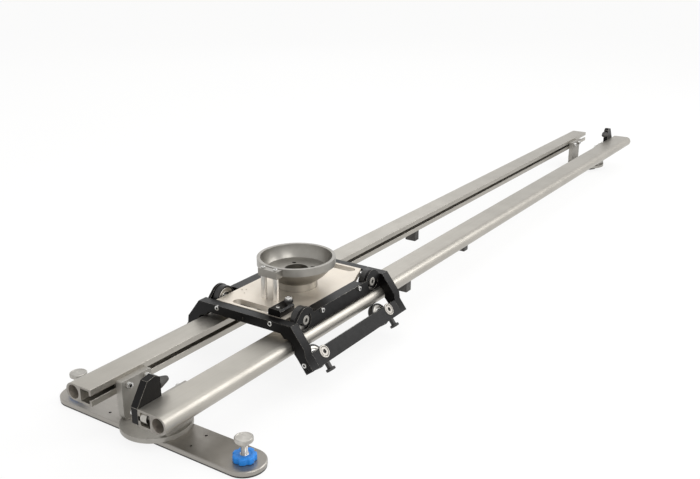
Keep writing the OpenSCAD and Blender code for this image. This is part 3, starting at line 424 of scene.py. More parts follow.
def pick(obj, kind, test):
    """In edit mode, selects the faces, edges or vertices that pass the test."""
    bpy.ops.mesh.select_mode(type=kind)
    bpy.ops.mesh.select_all(action="DESELECT")
    mesh = bmesh.from_edit_mesh(obj.data)
    for element in {"FACE": mesh.faces, "EDGE": mesh.edges, "VERT": mesh.verts}[kind]:
        element.select_set(bool(test(element)))
    if kind == "VERT":
        mesh.select_flush(True)
    bmesh.update_edit_mesh(obj.data)


def modify(obj, kind, **settings):
    """Adds a modifier with these settings and applies it."""
    take(obj)
    made = obj.modifiers.new(kind.title(), kind)
    for key, value in settings.items():
        setattr(made, key, value)
    bpy.ops.object.modifier_apply(modifier=made.name)
    return obj


def rounded(obj, width, segments=3, angle=32, highlight_slot=-1):
    """Rounds the sharp edges by up to this many millimetres, and by less all over where some of the
    edges are short; where a slot is given, the new faces take its finish, a painted edge highlight."""
    return modify(obj, "BEVEL", width=width * MM, segments=segments, limit_method="ANGLE",
                  angle_limit=radians(angle), use_clamp_overlap=True, loop_slide=True,
                  miter_outer="MITER_ARC", material=highlight_slot)


def smooth(obj, angle):
    """Shades smooth except across sharp edges, with flat faces kept flat."""
    take(obj)
    bpy.ops.object.shade_smooth_by_angle(angle=radians(angle))
    return modify(obj, "WEIGHTED_NORMAL", keep_sharp=True, weight=100)


def point(name, radius, height):
    """Starts a piece as one corner beside the axis, selected in edit mode."""
    release()
    bpy.ops.mesh.primitive_plane_add(size=MM, location=(radius * MM, 0, height * MM))
    obj = started(name)
    bpy.ops.object.transform_apply(location=True, rotation=False, scale=False)
    edit_all()
    bpy.ops.mesh.merge(type="CENTER")
    return obj


def turned(name, profile, steps):
    """A piece turned about Z. The profile's points are (radius, height) in millimetres, from the
    axis or bore round the outside and back; a profile that starts off the axis is closed."""
    first, last = profile[0], profile[-1]
    obj = point(name, *first)
    for (r0, z0), (r1, z1) in zip(profile, profile[1:]):
        extrude(r1 - r0, z1 - z0)
    if first[0] > 0 and last[0] > 0:
        ends = [Vector((r, 0, z)) * MM for r, z in (first, last)]
        pick(obj, "VERT", lambda v: any((v.co - end).length < 1e-7 for end in ends))
        bpy.ops.mesh.edge_face_add()
    edit_all()
    bpy.ops.mesh.spin(steps=steps, angle=2 * pi, center=(0, 0, 0), axis=(0, 0, 1))
    edit_all()
    bpy.ops.mesh.remove_doubles(threshold=1e-6)
    bpy.ops.mesh.normals_make_consistent(inside=False)
    leave_edit()
    return obj


def knurled(obj, low, high, radius, depth, count):
    """Presses grooves into a side that lies between two heights; every other corner goes in."""
    take(obj)
    edit_all()

    def is_groove(v):
        if not (low - 0.01 <= v.co.z / MM <= high + 0.01
                and abs(v.co.xy.length / MM - radius) < 0.01):
            return False
        return round(atan2(v.co.y, v.co.x) / pi * count) % 2

    pick(obj, "VERT", is_groove)
    draw_in(1 - depth / radius)
    leave_edit()
    return obj


def cut_by(obj, tool):
    """Cuts the tool's shape out of the piece and removes the tool."""
    modify(obj, "BOOLEAN", object=tool, operation="DIFFERENCE", solver="EXACT")
    bpy.data.objects.remove(tool)
    return obj


def prism(name, sides, radius, low, high):
    """An upright prism between two heights, in millimetres."""
    release()
    bpy.ops.mesh.primitive_cylinder_add(
        vertices=sides, radius=radius * MM, depth=(high - low) * MM,
        location=(0, 0, (high + low) / 2 * MM))
    obj = started(name)
    bpy.ops.object.transform_apply(location=True, rotation=True, scale=True)
    return obj


def copy_of(obj, name, matrix):
    """A copy with its own mesh, moved by the matrix, which is applied to it."""
    take(obj)
    bpy.ops.object.duplicate(linked=False)
    made = started(name)
    made.matrix_world = matrix
    bpy.ops.object.transform_apply(location=True, rotation=True, scale=True)
    return made


def joined(parts, name):
    take(parts[0])
    for part in parts[1:]:
        part.select_set(True)
    if len(parts) > 1:
        bpy.ops.object.join()
    return started(name)


def wear(obj, *finishes):
    """Puts the finishes in the piece's material slots."""
    obj.data.materials.clear()
    for make in finishes:
        obj.data.materials.append(finish(make))
    return obj


def paint(obj, index, test):
    """Gives the faces whose middle and normal pass the test another of the piece's finishes."""
    for face in obj.data.polygons:
        if test(face.center / MM, face.normal):
            face.material_index = index
    return obj


def stand(obj, body, slot, *nodes, angle=35):
    """Finishes a piece: it shades smooth, rides on its body and stands for these CAD nodes."""
    smooth(obj, angle)
    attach(obj, body)
    if nodes:
        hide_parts(*nodes)
    release()
    return obj


def merge_flat(gap):
    """Merges selected corners within this many millimetres and makes flat faces whole."""
    bpy.ops.mesh.remove_doubles(threshold=gap * MM)
    bpy.ops.mesh.dissolve_limited(angle_limit=radians(1))


def from_frame(source, name):
    """A copy of a CAD node with its loose triangles merged and its flat faces whole."""
    take(frame["nodes"][source])
    bpy.ops.object.duplicate(linked=False)
    obj = started(name)
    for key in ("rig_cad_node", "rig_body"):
        del obj[key]
    bpy.ops.object.parent_clear(type="CLEAR_KEEP_TRANSFORM")
    edit_all()
    merge_flat(0.002)
    leave_edit()
    return obj


def machined(source, body, slot, look, edge, segments=3, angle=32, highlight_finish=None):
    """A piece made as the CAD says, with its edges broken and, where given, a painted highlight on
    them.
    """
    obj = from_frame(source, source + "_piece")
    wear(obj, look, *([highlight_finish] if highlight_finish else []))
    if edge:
        rounded(obj, edge, segments, angle, 1 if highlight_finish else -1)
    return stand(obj, body, slot, source)


def black_plate(source, edge):
    """A black milled plate of the carriage, with a grey painted highlight on its broken edges."""
    return machined(source, "carriage", "black_metal", black_aluminium, edge,
                    highlight_finish=painted_edge_highlight)


def moved(place):
    """Matrix that moves to this place, given in millimetres."""
    return Matrix.Translation(Vector(place) * MM)


def lie_along(direction, place):
    """Matrix that turns Z to this direction and moves to this place, given in millimetres."""
    return moved(place) @ Vector(direction).to_track_quat("Z", "Y").to_matrix().to_4x4()


def lower_axis(side):
    """Direction of a lower wheel's axle, away from the track."""
    return Vector((0, side * cos(WHEEL_TILT), sin(WHEEL_TILT)))


def beside(side, m, e):
    """Point beside a rail: m along the lower axle's direction, e away from the round."""
    return Vector((0, side * (RAIL_ROUND_Y + m * cos(WHEEL_TILT) + e * sin(WHEEL_TILT)),
                   RAIL_MID + m * sin(WHEEL_TILT) - e * cos(WHEEL_TILT)))


def socket_screw(name, size, shank):
    """Socket head screw: knurled head with a turned chamfer, hexagon socket and shank."""
    head_r, head_h, shank_r = size
    chamfer, knurls = head_r * 0.1, 24
    obj = turned(name, [
        (0, -shank), (shank_r - 0.4, -shank), (shank_r, -shank + 0.5), (shank_r, 0),
        (head_r - chamfer * 0.4, 0), (head_r, chamfer * 0.4), (head_r, head_h - chamfer * 1.6),
        (head_r - chamfer * 0.4, head_h - chamfer * 0.6), (head_r - chamfer * 1.4, head_h),
        (0, head_h)], knurls * 2)
    knurled(obj, chamfer * 0.4, head_h - chamfer * 1.6, head_r, head_r * 0.03, knurls)
    cut_by(obj, prism("socket", 6, head_r * 0.55, head_h * 0.42, head_h + 1))
    wear(obj, bright_steel, painted_socket_shade)
    # The socket's walls and floor are painted dark as shade
    return paint(obj, 1, lambda c, n: 0 < c.z < head_h - 0.01 and c.xy.length < head_r * 0.6
                 and not (n.z > 0.5 and c.z < head_h * 0.4))


def spread(kinds, body, slot, source, name=None):
    """Copies each model to its places, and joins all the copies to one finished piece."""
    parts = []
    for model, places in kinds:
        parts += [copy_of(model, "copy", place) for place in places]
        bpy.data.objects.remove(model)
    return stand(joined(parts, name or source + "_piece"), body, slot, source)


class Undoable:
    """What the operators have in common."""
    bl_options = {"REGISTER", "UNDO"}


class DOLLY_OT_track(Undoable, bpy.types.Operator):
    """Rails, the brackets that carry them and the blocks under them"""
    bl_idname = "dolly.track"
    bl_label = "Track"

    def execute(self, context):
        for side, s in SIDES.items():
            axis = Vector((0, s * (RAIL_ROUND_Y - BORE_IN), RAIL_MID))
            # Just outside the bore's own radius
            bore_reach = 13.1
            rail = machined(f"rail_{side}", "track", "rail", extruded_aluminium,
                            sizes().rail_edge / MM, angle=40)
            for make in (bore_painted_light, sawn_aluminium):
                rail.data.materials.append(finish(make))
            # The bore's walls take the lighter, matt finish: painted light
            paint(rail, 1, lambda c, n: abs(n.x) < 0.5 and (c - axis).yz.length < bore_reach)
            paint(rail, 2, lambda c, n: abs(n.x) > 0.9)
        for end in ENDS:
            # The brackets' broken edges are painted in bright aluminium as a highlight
            machined(f"{end}_bracket", "track", "bracket", bracket_aluminium, 0.9, segments=2,
                     highlight_finish=turned_aluminium_and_edge_highlight)
        machined("rest_pads", "track", "rubber", dark_rubber, 1.6)
        machined("far_foot", "track", "rubber", dark_rubber, 0)
        machined("slot_nuts", "track", "steel", bright_steel, 0.3)
        machined("stop_nuts", "track", "steel", turned_aluminium_and_edge_highlight, 0.5)
        return {"FINISHED"}


class DOLLY_OT_stops(Undoable, bpy.types.Operator):
    """End stop plates with their rubber buffers"""
    bl_idname = "dolly.stops"
    bl_label = "Stops"

    def execute(self, context):
        for end in ENDS:
            self.plate(f"{end}_stop")
        low, high = span("stop_buffers")
        centre = (low + high) / 2
        radius = (high.z - low.z) / 2
        buffer_len = 26
        cone = turned("buffer", [
            (0, 0), (radius, 0), (radius, 2), (radius * 0.97, 4), (radius * 0.82, 10),
            (radius * 0.64, 17), (radius * 0.50, 22), (radius * 0.40, buffer_len - 1.6),
            (radius * 0.25, buffer_len - 0.5), (0, buffer_len)], 48)
        wear(cone, dark_rubber)
        places = [lie_along((way, 0, 0), (x, centre.y, centre.z))
                  for x, way in ((low.x, 1), (high.x, -1))]
        spread([(cone, places)], "track", "rubber", "stop_buffers", "stop_buffer_pieces")
        return {"FINISHED"}

    def plate(self, source):
        """A stop plate that is only as thick as the photographed one: its screws stand proud."""
        high = span(source)[1].y
        # All that stands in the outer layer, down to the screws' sunk seats, moves in by this much
        thinner = 5
        obj = from_frame(source, source + "_piece")
        edit_all()
        pick(obj, "VERT", lambda v: v.co.y / MM > high - thinner + 0.1)
        bpy.ops.transform.translate(value=(0, -thinner * MM, 0))
        edit_all()
        merge_flat(0.01)
        leave_edit()
        # The broken edges are painted grey as a highlight
        wear(obj, black_aluminium, painted_edge_highlight)
        rounded(obj, 0.9, highlight_slot=1)
        return stand(obj, "track", "black_metal", source)


class DOLLY_OT_base(Undoable, bpy.types.Operator):
    """Base plate with its rubber sheet and pivot bolt"""
    bl_idname = "dolly.base"
    bl_label = "Base plate"

    def execute(self, context):
        # The base plate's broken edges are painted in bright aluminium as a highlight
        machined("base_plate", "base", "grey_metal", base_aluminium, 1.1, angle=25,
                 highlight_finish=turned_aluminium_and_edge_highlight)
        machined("base_pad", "base", "rubber", dark_rubber, 0.5)
        machined("pivot_bolt", "track", "steel", bright_steel, 0.5)
        return {"FINISHED"}


class DOLLY_OT_levelling(Undoable, bpy.types.Operator):
    """Levelling screws, their swivel feet and the star knobs that lock them"""
    bl_idname = "dolly.levelling"
    bl_label = "Levelling feet"

    def execute(self, context):
        pieces = ((self.screw(), "levelling_screw", "knurled"),
                  (self.swivel_foot(), "levelling_foot", "rubber"),
                  (self.star_knob(), "lock_knob", "blue_knob"))
        for side, s in SIDES.items():
            place = moved((NEAR_X, s * LEVEL_Y, 0))
            for piece, name, slot in pieces:
                made = copy_of(piece, f"{name}_{side}_piece", place)
                stand(made, f"{name}_{side}_body", slot, f"{name}_{side}", angle=30)
        for piece, name, slot in pieces:
            bpy.data.objects.remove(piece)
        return {"FINISHED"}

    def screw(self):
        """Threaded stem, neck, collar and knurled head."""
        s = sizes()
        low, high = span("levelling_screw_left")
        head_r, top, foot = (high.x - low.x) / 2, high.z, low.z
        stem_r, neck_r, collar_r = 6.0, 4.8, 10.5
        head_h, collar_h, neck_h = 8.0, 4.5, 2.5
        head_low = top - head_h
        collar_low = head_low - collar_h
        stem_top = collar_low - neck_h
        # The knurls run between the head's two rims, in rows
        rim, rows = 1.4, 3
        step = (head_h - 2 * rim) / rows
        head = turned("levelling_head", [
            (0, stem_top - 1), (neck_r, stem_top - 1), (neck_r, collar_low),
            (collar_r - 0.5, collar_low), (collar_r, collar_low + 0.5),
            (collar_r, head_low - 0.3), (collar_r - 0.5, head_low), (head_r - 1.6, head_low),
            (head_r - 0.4, head_low + 0.7), (head_r, head_low + rim)]
            + [(head_r, head_low + rim + step * i) for i in range(1, rows + 1)]
            + [(head_r - 0.4, top - 0.7), (head_r - 1.6, top), (head_r - 3.2, top),
               (head_r - 3.6, top - 0.35), (4.0, top - 0.35), (3.4, top - 0.7), (0, top - 0.7)],
            s.knurl_count * 2)
        knurled(head, head_low + rim, top - rim, head_r, s.knurl_depth / MM, s.knurl_count)
        pitch = s.thread_pitch / MM
        turns = int((stem_top - foot - 2) / pitch)
        stem_low = stem_top - turns * pitch - 1
        # One turn's flank, crest and flank, with their rise as shares of the pitch
        thread = point("thread", stem_r - 0.55, stem_low)
        for out, up in ((0.5, 0.42), (0, 0.14), (-0.5, 0.44)):
            extrude(out, up * pitch)
        leave_edit()
        modify(thread, "SCREW", axis="Z", angle=2 * pi, screw_offset=pitch * MM,
               iterations=turns, steps=28, render_steps=28, use_normal_calculate=True)
        edit_all()
        bpy.ops.mesh.remove_doubles(threshold=0.02 * MM)
        leave_edit()
        core = turned("core", [
            (0, foot), (stem_r - 1.2, foot), (stem_r - 0.4, foot + 1), (stem_r - 0.4, stem_low),
            (stem_r - 0.5, stem_low + 0.2), (stem_r - 0.5, stem_top - 0.6),
            (stem_r - 0.1, stem_top - 0.5), (stem_r - 0.1, stem_top), (0, stem_top)], 40)
        return wear(joined([head, thread, core], "levelling_screw"), turned_aluminium_and_edge_highlight)

    def swivel_foot(self):
        low, high = span("levelling_foot_left")
        r = (high.x - low.x) / 2
        pad = turned("swivel_foot", [
            (0, 0), (r - 0.5, 0), (r, 0.5), (r, 3), (r - 1, 4), (1.6, 4.2), (1.6, high.z - 2.2),
            (0, high.z)], 36)
        return wear(pad, dark_rubber)

    def star_knob(self):
        """Star knob: round lobes, a rolled rim, a dished top and a turned metal insert."""
        low, high = span("lock_knob_left")
        lobes, per_lobe = sizes().star_lobes, 28
        # A notch between two lobes is an arc of notch_r, with its middle at notch_at from the axis
        star_r, notch_r, notch_at, bore = 20.5, 6.0, 24.0, 7.6
        count = lobes * per_lobe
        outline = [star_r] * (per_lobe // 2 + 1)
        for step in range(len(outline)):
            # Angle between this corner and the middle of the notch beside it
            turn = pi / lobes - step * 2 * pi / count
            reach = notch_r ** 2 - (notch_at * sin(turn)) ** 2
            if reach > 0:
                outline[step] = min(star_r, notch_at * cos(turn) - reach ** 0.5)
        last = len(outline) - 1
        for softening in range(2):
            outline = [(outline[abs(i - 1)] + outline[i] + outline[min(i + 1, last)]) / 3
                       for i in range(last + 1)]
        release()
        bpy.ops.mesh.primitive_circle_add(vertices=count, radius=bore * MM, fill_type="NOTHING",
                                          location=(0, 0, low.z * MM), rotation=(0, 0, -pi / 2))
        knob = started("star")
        bpy.ops.object.transform_apply(location=True, rotation=True, scale=False)
        edit_all()
        reached = bore, low.z

        def ring(radius, height):
            nonlocal reached
            extrude(0, height - reached[1])
            draw_in(radius / reached[0], height)
            reached = radius, height

        dish = ((bore, high.z - 1.2), (10.8, high.z - 1.0), (11.8, high.z - 0.6),
                (12.6, high.z - 0.1), (13.2, high.z), (star_r - 2.6, high.z))
        for radius, height in dish:
            ring(radius, height)
        # The last ring's corners are drawn in to the star's outline, which the rings below keep
        first = count * len(dish)
        for step, radius in enumerate(outline):
            pick(knob, "VERT", lambda v: v.index >= first and v.index % per_lobe in
                 (step, (per_lobe - step) % per_lobe))
            draw_in(radius / star_r, high.z)
        pick(knob, "VERT", lambda v: v.index >= first)
        rim = ((star_r - 1.7, high.z - 0.15), (star_r - 0.8, high.z - 0.75),
               (star_r - 0.2, high.z - 1.7), (star_r, high.z - 2.8), (star_r - 0.1, low.z + 1.8),
               (star_r - 0.45, low.z + 0.8), (star_r - 1.1, low.z + 0.2), (star_r - 1.9, low.z))
        for radius, height in rim:
            ring(radius, height)
        pick(knob, "EDGE", lambda e: e.is_boundary)
        bpy.ops.mesh.bridge_edge_loops()
        edit_all()
        bpy.ops.mesh.normals_make_consistent(inside=False)
        leave_edit()
        wear(knob, blue_nylon)
        insert = turned("insert", [
            (6.05, low.z + 0.2), (7.5, low.z + 0.2), (7.5, high.z - 0.4), (7.2, high.z - 0.1),
            (6.4, high.z - 0.1), (6.05, high.z - 0.5)], 48)
        wear(insert, bright_steel)
        return joined([knob, insert], "lock_knob")


class DOLLY_OT_carriage(Undoable, bpy.types.Operator):
    """Platform, arms and bars of the carriage"""
    bl_idname = "dolly.carriage"
    bl_label = "Carriage frame"

    def execute(self, context):
        machined("platform", "carriage", "platform", platform_aluminium, 0.8)
        edge = sizes().edge / MM
        for end in ENDS:
            black_plate(f"{end}_arm", edge)
        for side in SIDES:
            # Their smallest steps have no room for more
            black_plate(f"side_bar_{side}", edge / 2)
            black_plate(f"lower_bar_{side}", edge)
        return {"FINISHED"}


class DOLLY_OT_wheels(Undoable, bpy.types.Operator):
    """Eight wheels with ball bearings, and their axles"""
    bl_idname = "dolly.wheels"
    bl_label = "Wheels"

    def execute(self, context):
        hub_r = span("upper_wheel_far_left")[1].z - UPPER_AXLE.z
        bore, bearing_r = AXLE_R + 0.05, 13.0
        shield_in, shield_out = 8.0, 11.3
        side_face = [
            (bore, 0), (bore + 0.3, 0.0), (7.6, 0.0), (7.8, -0.35), (shield_in, -0.9),
            (shield_out, -0.9), (11.5, -0.3), (11.7, 0.0), (12.9, 0.0), (13.1, -0.2),
            (13.1, -1.2), (14.2, -1.35), (15.6, -1.2), (15.9, -0.2), (16.2, 0.0),
            (hub_r - 0.6, 0.0), (hub_r, -0.5)]
        tread = [(hub_r, -0.4), (hub_r + 0.6, 0), (WHEEL_R - 1.6, 0), (WHEEL_R - 0.6, -0.35),
                 (WHEEL_R - 0.1, -1.1), (WHEEL_R, -2.2)]
        hub, tyre = (
            turned(name, [(r, WHEEL_HALF + z) for r, z in half]
                   + [(r, -WHEEL_HALF - z) for r, z in half[::-1]], steps)
            for name, half, steps in (("hub", side_face, 64), ("tyre", tread, 96)))
        wear(hub, turned_aluminium_and_edge_highlight, bright_steel, black_nylon)
        paint(hub, 1, lambda c, n: bore < c.xy.length < bearing_r)
        paint(hub, 2, lambda c, n: shield_in < c.xy.length < shield_out and abs(c.z) < 6.5)
        wear(tyre, black_polyurethane)
        for corner, e, s in CORNERS:
            x = CARRIAGE_X + e * AXLE_X
            upper = lie_along((0, s, 0), (x, s * UPPER_AXLE.y, UPPER_AXLE.z))
            lower = lie_along(lower_axis(s), (x, s * LOWER_AXLE.y, LOWER_AXLE.z))
            for row, place in (("upper", upper), ("lower", lower)):
                for part, slot in ((hub, "wheel"), (tyre, "tyre")):
                    name = f"{row}_{slot}_{corner}"
                    made = copy_of(part, name + "_piece", place)
                    stand(made, f"{row}_wheel_{corner}_body", slot, name)
        for spare in (hub, tyre):
            bpy.data.objects.remove(spare)
        self.axles()
        return {"FINISHED"}

    def axles(self):
        """Axles with turned heads, centre holes, clips and collars."""
        bar_out, bar_t = span("side_bar_left")[1].y, 6
        # Both heads sit in shallow seats in the bars' outer faces
        head = bar_out - 2.0
        face = head + 2.6
        upper = turned("upper_axle", self.shank(UPPER_AXLE.y, bar_out - bar_t, head) + [
            (9.2, head), (9.2, face - 0.7), (8.5, face), (4.2, face), (3.6, face - 0.6),
            (3.4, face - 0.8), (3.4, head + 0.6), (0, head + 0.6)], 56)
        top = BAR_OUT - 1.5
        face = top + 3.0
        lower = turned("lower_axle", self.shank(0, BAR_IN, top) + [
            (13, top), (13, face - 0.8), (12.2, face), (10.2, face), (9.9, face - 1.0),
            (9.3, face - 1.0), (9.0, face - 0.3), (4.4, face - 0.3), (3.9, face - 1.0),
            (3.7, top + 0.8), (0, top + 0.6)], 64)
        wear(upper, bracket_aluminium, painted_socket_shade)
        # The centre hole is painted dark as shade
        paint(upper, 1, lambda c, n: c.z > head and c.xy.length < 4.0)
        wear(lower, base_aluminium, painted_socket_shade)
        # The centre hole and the groove round it are painted dark as shade
        paint(lower, 1, lambda c, n: c.z > top and (c.xy.length < 4.2 or 9.1 < c.xy.length < 10.1))
        upper_places, lower_places = [], []
        for corner, e, s in CORNERS:
            x = CARRIAGE_X + e * AXLE_X
            upper_places.append(lie_along((0, s, 0), (x, 0, UPPER_AXLE.z)))
            lower_places.append(lie_along(lower_axis(s), (x, s * LOWER_AXLE.y, LOWER_AXLE.z)))
        for axle, places, source in ((upper, upper_places, "upper_axles"),
                                     (lower, lower_places, "lower_axles")):
            spread([(axle, places)], "carriage", "steel", source)

    def shank(self, wheel, collar, head):
        """Profile of an axle up to its head: its tip, the clip, the wheel's seat and the collar."""
        inside, outside = wheel - WHEEL_HALF - RUN_GAP, wheel + WHEEL_HALF + RUN_GAP
        return [(0, inside - 1.6), (4.6, inside - 1.6), (AXLE_R, inside - 1.2),
                (CLIP_R, inside - 1.2), (CLIP_R, inside), (AXLE_R, inside), (AXLE_R, outside),
                (COLLAR_R, outside), (COLLAR_R, collar), (AXLE_R, collar), (AXLE_R, head)]


class DOLLY_OT_screws(Undoable, bpy.types.Operator):
    """Socket screws of the brackets, stops, carriage frame, bowl and brake"""
    bl_idname = "dolly.screws"
    bl_label = "Screws"

    def execute(self, context):
        self.slot_screws()
        self.frame_screws()
        self.bowl_screws()
        return {"FINISHED"}

    def slot_screws(self):
        """M8 screws of the brackets and stops."""
        upright_t, half_pitch = 14, 21
        # A stop's screws: how far their seats stand off the rail, and how far in from its end
        stop_seat, stop_in = 15, (11, 45)
        bracket = [lie_along((0, -s, 0), (x + t, s * (RAIL_IN - upright_t), RAIL_MID))
                   for x in (NEAR_X, FAR_X) for s in SIDES.values()
                   for t in (-half_pitch, half_pitch)]
        stop = []
        for end, e in ENDS.items():
            low, high = span(f"{end}_stop")
            outer = low.x if end == "near" else high.x
            stop += [lie_along((0, 1, 0), (outer - e * d, stop_seat - RAIL_IN, RAIL_MID))
                     for d in stop_in]
        spread([(socket_screw("slot_screw", M8, 24), bracket),
                (socket_screw("stop_screw", M8, 35.7), stop)],
               "track", "steel", "slot_screws")

    def frame_screws(self):
        """M6 screws that hold the arms and side bars."""
        arm_sink, bar_sink = 4, 2
        sunk_x = span("far_arm")[1].x - CARRIAGE_X - arm_sink
        sunk_y = span("side_bar_left")[1].y - bar_sink
        screw_x, screw_y, screw_z = AXLE_X - 52.5, 66, DECK_LOW + 5
        # The screw into a lower bar's end: how far along its axles and away from the rail it lies
        leg_place = BAR_IN + 6, 44
        places = []
        for s in SIDES.values():
            leg = beside(s, *leg_place)
            for e in ENDS.values():
                for y, z in ((s * screw_y, screw_z), (leg.y, leg.z)):
                    places.append(lie_along((e, 0, 0), (CARRIAGE_X + e * sunk_x, y, z)))
                places.append(lie_along((0, s, 0), (CARRIAGE_X + e * screw_x, s * sunk_y, screw_z)))
        spread([(socket_screw("frame_screw", M6, 31), places)], "carriage", "steel",
               "frame_screws")

    def bowl_screws(self):
        """M5 screws of the bowl's foot, the clamp block and the brake block."""
        foot_pitch_r, foot_h, half_block_pitch = 34, 8, 15
        foot = [lie_along((0, 0, 1), (CARRIAGE_X + foot_pitch_r * cos(a), foot_pitch_r * sin(a),
                                      DECK_TOP + foot_h))
                for a in (radians(45 + 90 * i) for i in range(4))]
        rim, post = span("bowl")[1].z, middle("bowl_posts")
        block = [lie_along((0, 0, 1), (post.x, t, rim - 1))
                 for t in (-half_block_pitch, half_block_pitch)]
        low, high = span("brake_block")
        brake = [lie_along((0, 0, 1), (low.x + 9, low.y + 13, high.z))]
        spread([(socket_screw("foot_screw", M5, 17), foot),
                (socket_screw("block_screw", M5_LOW, 24), block),
                (socket_screw("brake_bolt", M5_LOW, 16), brake)],
               "carriage", "steel", "bowl_screws")


class DOLLY_OT_bowl(Undoable, bpy.types.Operator):
    """Bowl adapter, the block that hugs its band and the two posts"""
    bl_idname = "dolly.bowl"
    bl_label = "Bowl"

    def execute(self, context):
        machined("bowl", "carriage", "grey_metal", bowl_aluminium, 0.6)
        machined("bowl_block", "carriage", "grey_metal", bowl_aluminium, 0.6)
        machined("bowl_posts", "carriage", "steel", polished_steel, 0.4)
        return {"FINISHED"}


class DOLLY_OT_brake(Undoable, bpy.types.Operator):
    """Brake block, its thumb screw and pad, and the sprung pull pins"""
    bl_idname = "dolly.brake"
    bl_label = "Brake and pull pins"

    def execute(self, context):
        black_plate("brake_block", sizes().edge / MM)
        machined("brake_pad", "brake_pad_body", "rubber", dark_rubber, 0.5)
        low, high = span("brake_screw")
        place = middle("brake_screw")
        head_r, collar = 9, high.z - 11
        screw = turned("thumb_screw", [
            (0, low.z), (3.5, low.z), (4, low.z + 0.5), (4, collar), (8.2, collar),
            (head_r, collar + 0.8), (head_r, collar + 5.2), (8.2, collar + 6),
            (6.4, collar + 6), (6.4, collar + 6.4), (7, collar + 6.8), (7, collar + 9.6),
            (6.6, collar + 10.6), (5.4, high.z), (2.2, high.z), (1.8, collar + 10.5),
            (0, collar + 10.4)], 96)
        knurled(screw, collar + 0.8, collar + 5.2, head_r, 0.5, 48)
        made = copy_of(screw, "brake_screw_piece", moved((place.x, place.y, 0)))
        bpy.data.objects.remove(screw)
        wear(made, bright_steel, black_nylon)
        paint(made, 1, lambda c, n: collar - 0.1 < c.z < collar + 6.05)
        stand(made, "brake_screw_body", "steel", "brake_screw")
        self.pull_pins()
        return {"FINISHED"}

    def pull_pins(self):
        """Sprung pins with knurled nylon knobs under the lower bars."""
        # Where the pin's tip and the bar's lower face lie, from the rail round's centre
        start, bar, knob_r = 46.35, 61.5, 10
        pin = turned("pull_pin", [
            (0, start), (3.6, start), (4, start + 0.4), (4, bar), (5.1, bar), (5.5, bar + 0.5),
            (5.5, bar + 10.5), (6.1, bar + 12.0), (9.2, bar + 12.5), (knob_r, bar + 13.3),
            (knob_r, bar + 16.9), (9.2, bar + 17.8), (8.4, bar + 18), (3, bar + 17.7),
            (0, bar + 17.7)], 80)
        knurled(pin, bar + 13.3, bar + 16.9, knob_r, 0.45, 40)
        wear(pin, black_nylon, bright_steel)
        paint(pin, 1, lambda c, n: c.z < bar)
        for corner, e, s in CORNERS:
            centre = beside(s, (BAR_IN + BAR_OUT) / 2, 0)
            place = lie_along((0, s * sin(WHEEL_TILT), -cos(WHEEL_TILT)),
                              (CARRIAGE_X + e * AXLE_X, centre.y, centre.z))
            name = f"pull_pin_{corner}"
            stand(copy_of(pin, name + "_piece", place), name + "_body", "black_knob", name)
        bpy.data.objects.remove(pin)


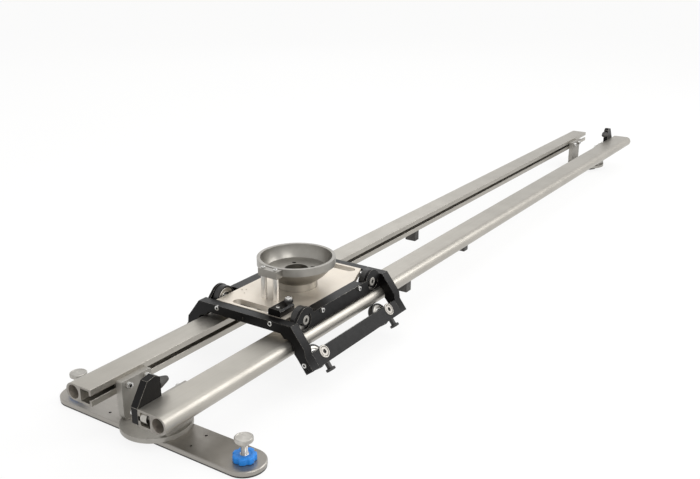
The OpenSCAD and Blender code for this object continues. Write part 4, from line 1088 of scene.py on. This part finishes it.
class DOLLY_OT_stage(Undoable, bpy.types.Operator):
    """Floor, lamps, world and the camera at the photograph's angle"""
    bl_idname = "dolly.stage"
    bl_label = "Stage"

    def execute(self, context):
        context.scene.view_settings.view_transform = "Standard"
        self.floor()
        self.world(context.scene)
        self.lamps(context.scene)
        self.camera(context.scene)
        return {"FINISHED"}

    def seen(self, tree):
        """1 where the camera, a reflection or a view through glass meets the stage."""
        rays = node(tree, "LightPath")
        shiny = node(tree, "Math", {0: rays.outputs["Is Glossy Ray"],
                                    1: rays.outputs["Is Transmission Ray"]}, operation="MAXIMUM")
        either = node(tree, "Math", {0: rays.outputs["Is Camera Ray"], 1: shiny.outputs[0]},
                      operation="MAXIMUM")
        return either.outputs[0]

    def floor(self):
        release()
        bpy.ops.mesh.primitive_circle_add(vertices=64, radius=45, fill_type="NGON",
                                          location=(0, 0, -0.0002))
        floor = started("studio_floor")
        made = grained("painted studio floor", *around(colours().floor, 0.985, 1.0),
                       (0.85, 0.95), 900.0, 40.0, 0.01, ior=1.45, specular=0.1)
        tree = made.node_tree
        share = node(tree, "Math", {0: self.seen(tree)}, {1: 0.85}, operation="MULTIPLY")
        glow = node(tree, "Emission", values={"Color": (1, 1, 1, 1), "Strength": 1.0})
        mix = node(tree, "MixShader", {0: share.outputs[0],
                                       1: tree.nodes["Principled BSDF"].outputs[0],
                                       2: glow.outputs[0]})
        tree.links.new(mix.outputs[0], tree.nodes["Material Output"].inputs["Surface"])
        floor.data.materials.append(made)

    def world(self, scene):
        """White all round up to eye level, dimmer overhead; the object itself is lit evenly."""
        world = bpy.data.worlds.new("studio")
        scene.world = world
        world.use_nodes = True
        tree = world.node_tree
        aim = node(tree, "TexCoord").outputs["Generated"]
        up = node(tree, "SeparateXYZ", {"Vector": aim}).outputs["Z"]
        light = node(tree, "ValToRGB", {"Fac": up})
        shown = node(tree, "ValToRGB", {"Fac": up})
        for ramp, stops in ((light, ((0.0, 0.60), (0.6, 0.88))),
                            (shown, ((0.30, 1.0), (0.75, 0.80)))):
            for stop, (where, grey) in zip(ramp.color_ramp.elements, stops):
                stop.position = where
                stop.color = (grey, grey, grey, 1)
        mixed = node(tree, "Mix", {0: self.seen(tree), 6: light.outputs["Color"],
                                   7: shown.outputs["Color"]}, data_type="RGBA")
        tree.links.new(mixed.outputs[2], tree.nodes["Background"].inputs["Color"])

    def lamps(self, scene):
        for name, place, size, power, aim in (
                ("key_softbox", (-1.6, -3.2, 2.9), 1.9, 40, (-0.5, 0, 0)),
                ("top_softbox", (0.2, 0.4, 3.6), 2.8, 26, (0, 0, 0)),
                ("side_softbox", (1.5, -1.9, 2.1), 2.0, 44, (-0.8, -0.1, 0.1)),
                ("rear_strip", (2.8, 2.6, 2.2), 2.4, 10, (0, 0, 0))):
            data = bpy.data.lights.new(name, "AREA")
            data.shape, data.size, data.energy = "SQUARE", size, power
            lamp = bpy.data.objects.new(name, data)
            scene.collection.objects.link(lamp)
            lamp.location = place
            lamp.rotation_euler = (Vector(aim) - Vector(place)).to_track_quat("-Z", "Y").to_euler()

    def camera(self, scene):
        settings = scene.dolly_stage
        data = bpy.data.cameras.new("camera")
        camera = bpy.data.objects.new("camera", data)
        scene.collection.objects.link(camera)
        data.sensor_width = 36
        data.lens = settings.lens
        data.clip_end = 200
        a, e = settings.azimuth, settings.elevation
        back = Vector((sin(a) * cos(e), -cos(a) * cos(e), sin(e)))
        camera.location = settings.place
        camera.rotation_mode = "QUATERNION"
        camera.rotation_quaternion = (-back).to_track_quat("-Z", "Y")
        scene.camera = camera


PIECES = (DOLLY_OT_track, DOLLY_OT_stops, DOLLY_OT_base, DOLLY_OT_levelling, DOLLY_OT_carriage,
          DOLLY_OT_wheels, DOLLY_OT_screws, DOLLY_OT_bowl, DOLLY_OT_brake, DOLLY_OT_stage)


class DOLLY_PT_panel(bpy.types.Panel):
    """Lists the dolly's pieces and settings"""
    bl_label = "Scooter dolly"
    bl_idname = "DOLLY_PT_panel"
    bl_space_type = "VIEW_3D"
    bl_region_type = "UI"
    bl_category = "Scooter dolly"

    def draw(self, context):
        for group in (context.scene.dolly_sizes, context.scene.dolly_colours,
                      context.scene.dolly_stage):
            box = self.layout.box()
            for key in group.__annotations__:
                box.prop(group, key)
        for piece in PIECES:
            self.layout.operator(piece.bl_idname)


CLASSES = (DollySizes, DollyColours, StageSettings, *PIECES, DOLLY_PT_panel)


def register():
    for made in CLASSES:
        bpy.utils.register_class(made)
    bpy.types.Scene.dolly_sizes = bpy.props.PointerProperty(type=DollySizes)
    bpy.types.Scene.dolly_colours = bpy.props.PointerProperty(type=DollyColours)
    bpy.types.Scene.dolly_stage = bpy.props.PointerProperty(type=StageSettings)


def unregister():
    for key in ("dolly_sizes", "dolly_colours", "dolly_stage"):
        delattr(bpy.types.Scene, key)
    for made in reversed(CLASSES):
        bpy.utils.unregister_class(made)


def main():
    register()
    for piece in PIECES:
        group, name = piece.bl_idname.split(".")
        getattr(getattr(bpy.ops, group), name)()


if __name__ == "__main__":
    main()
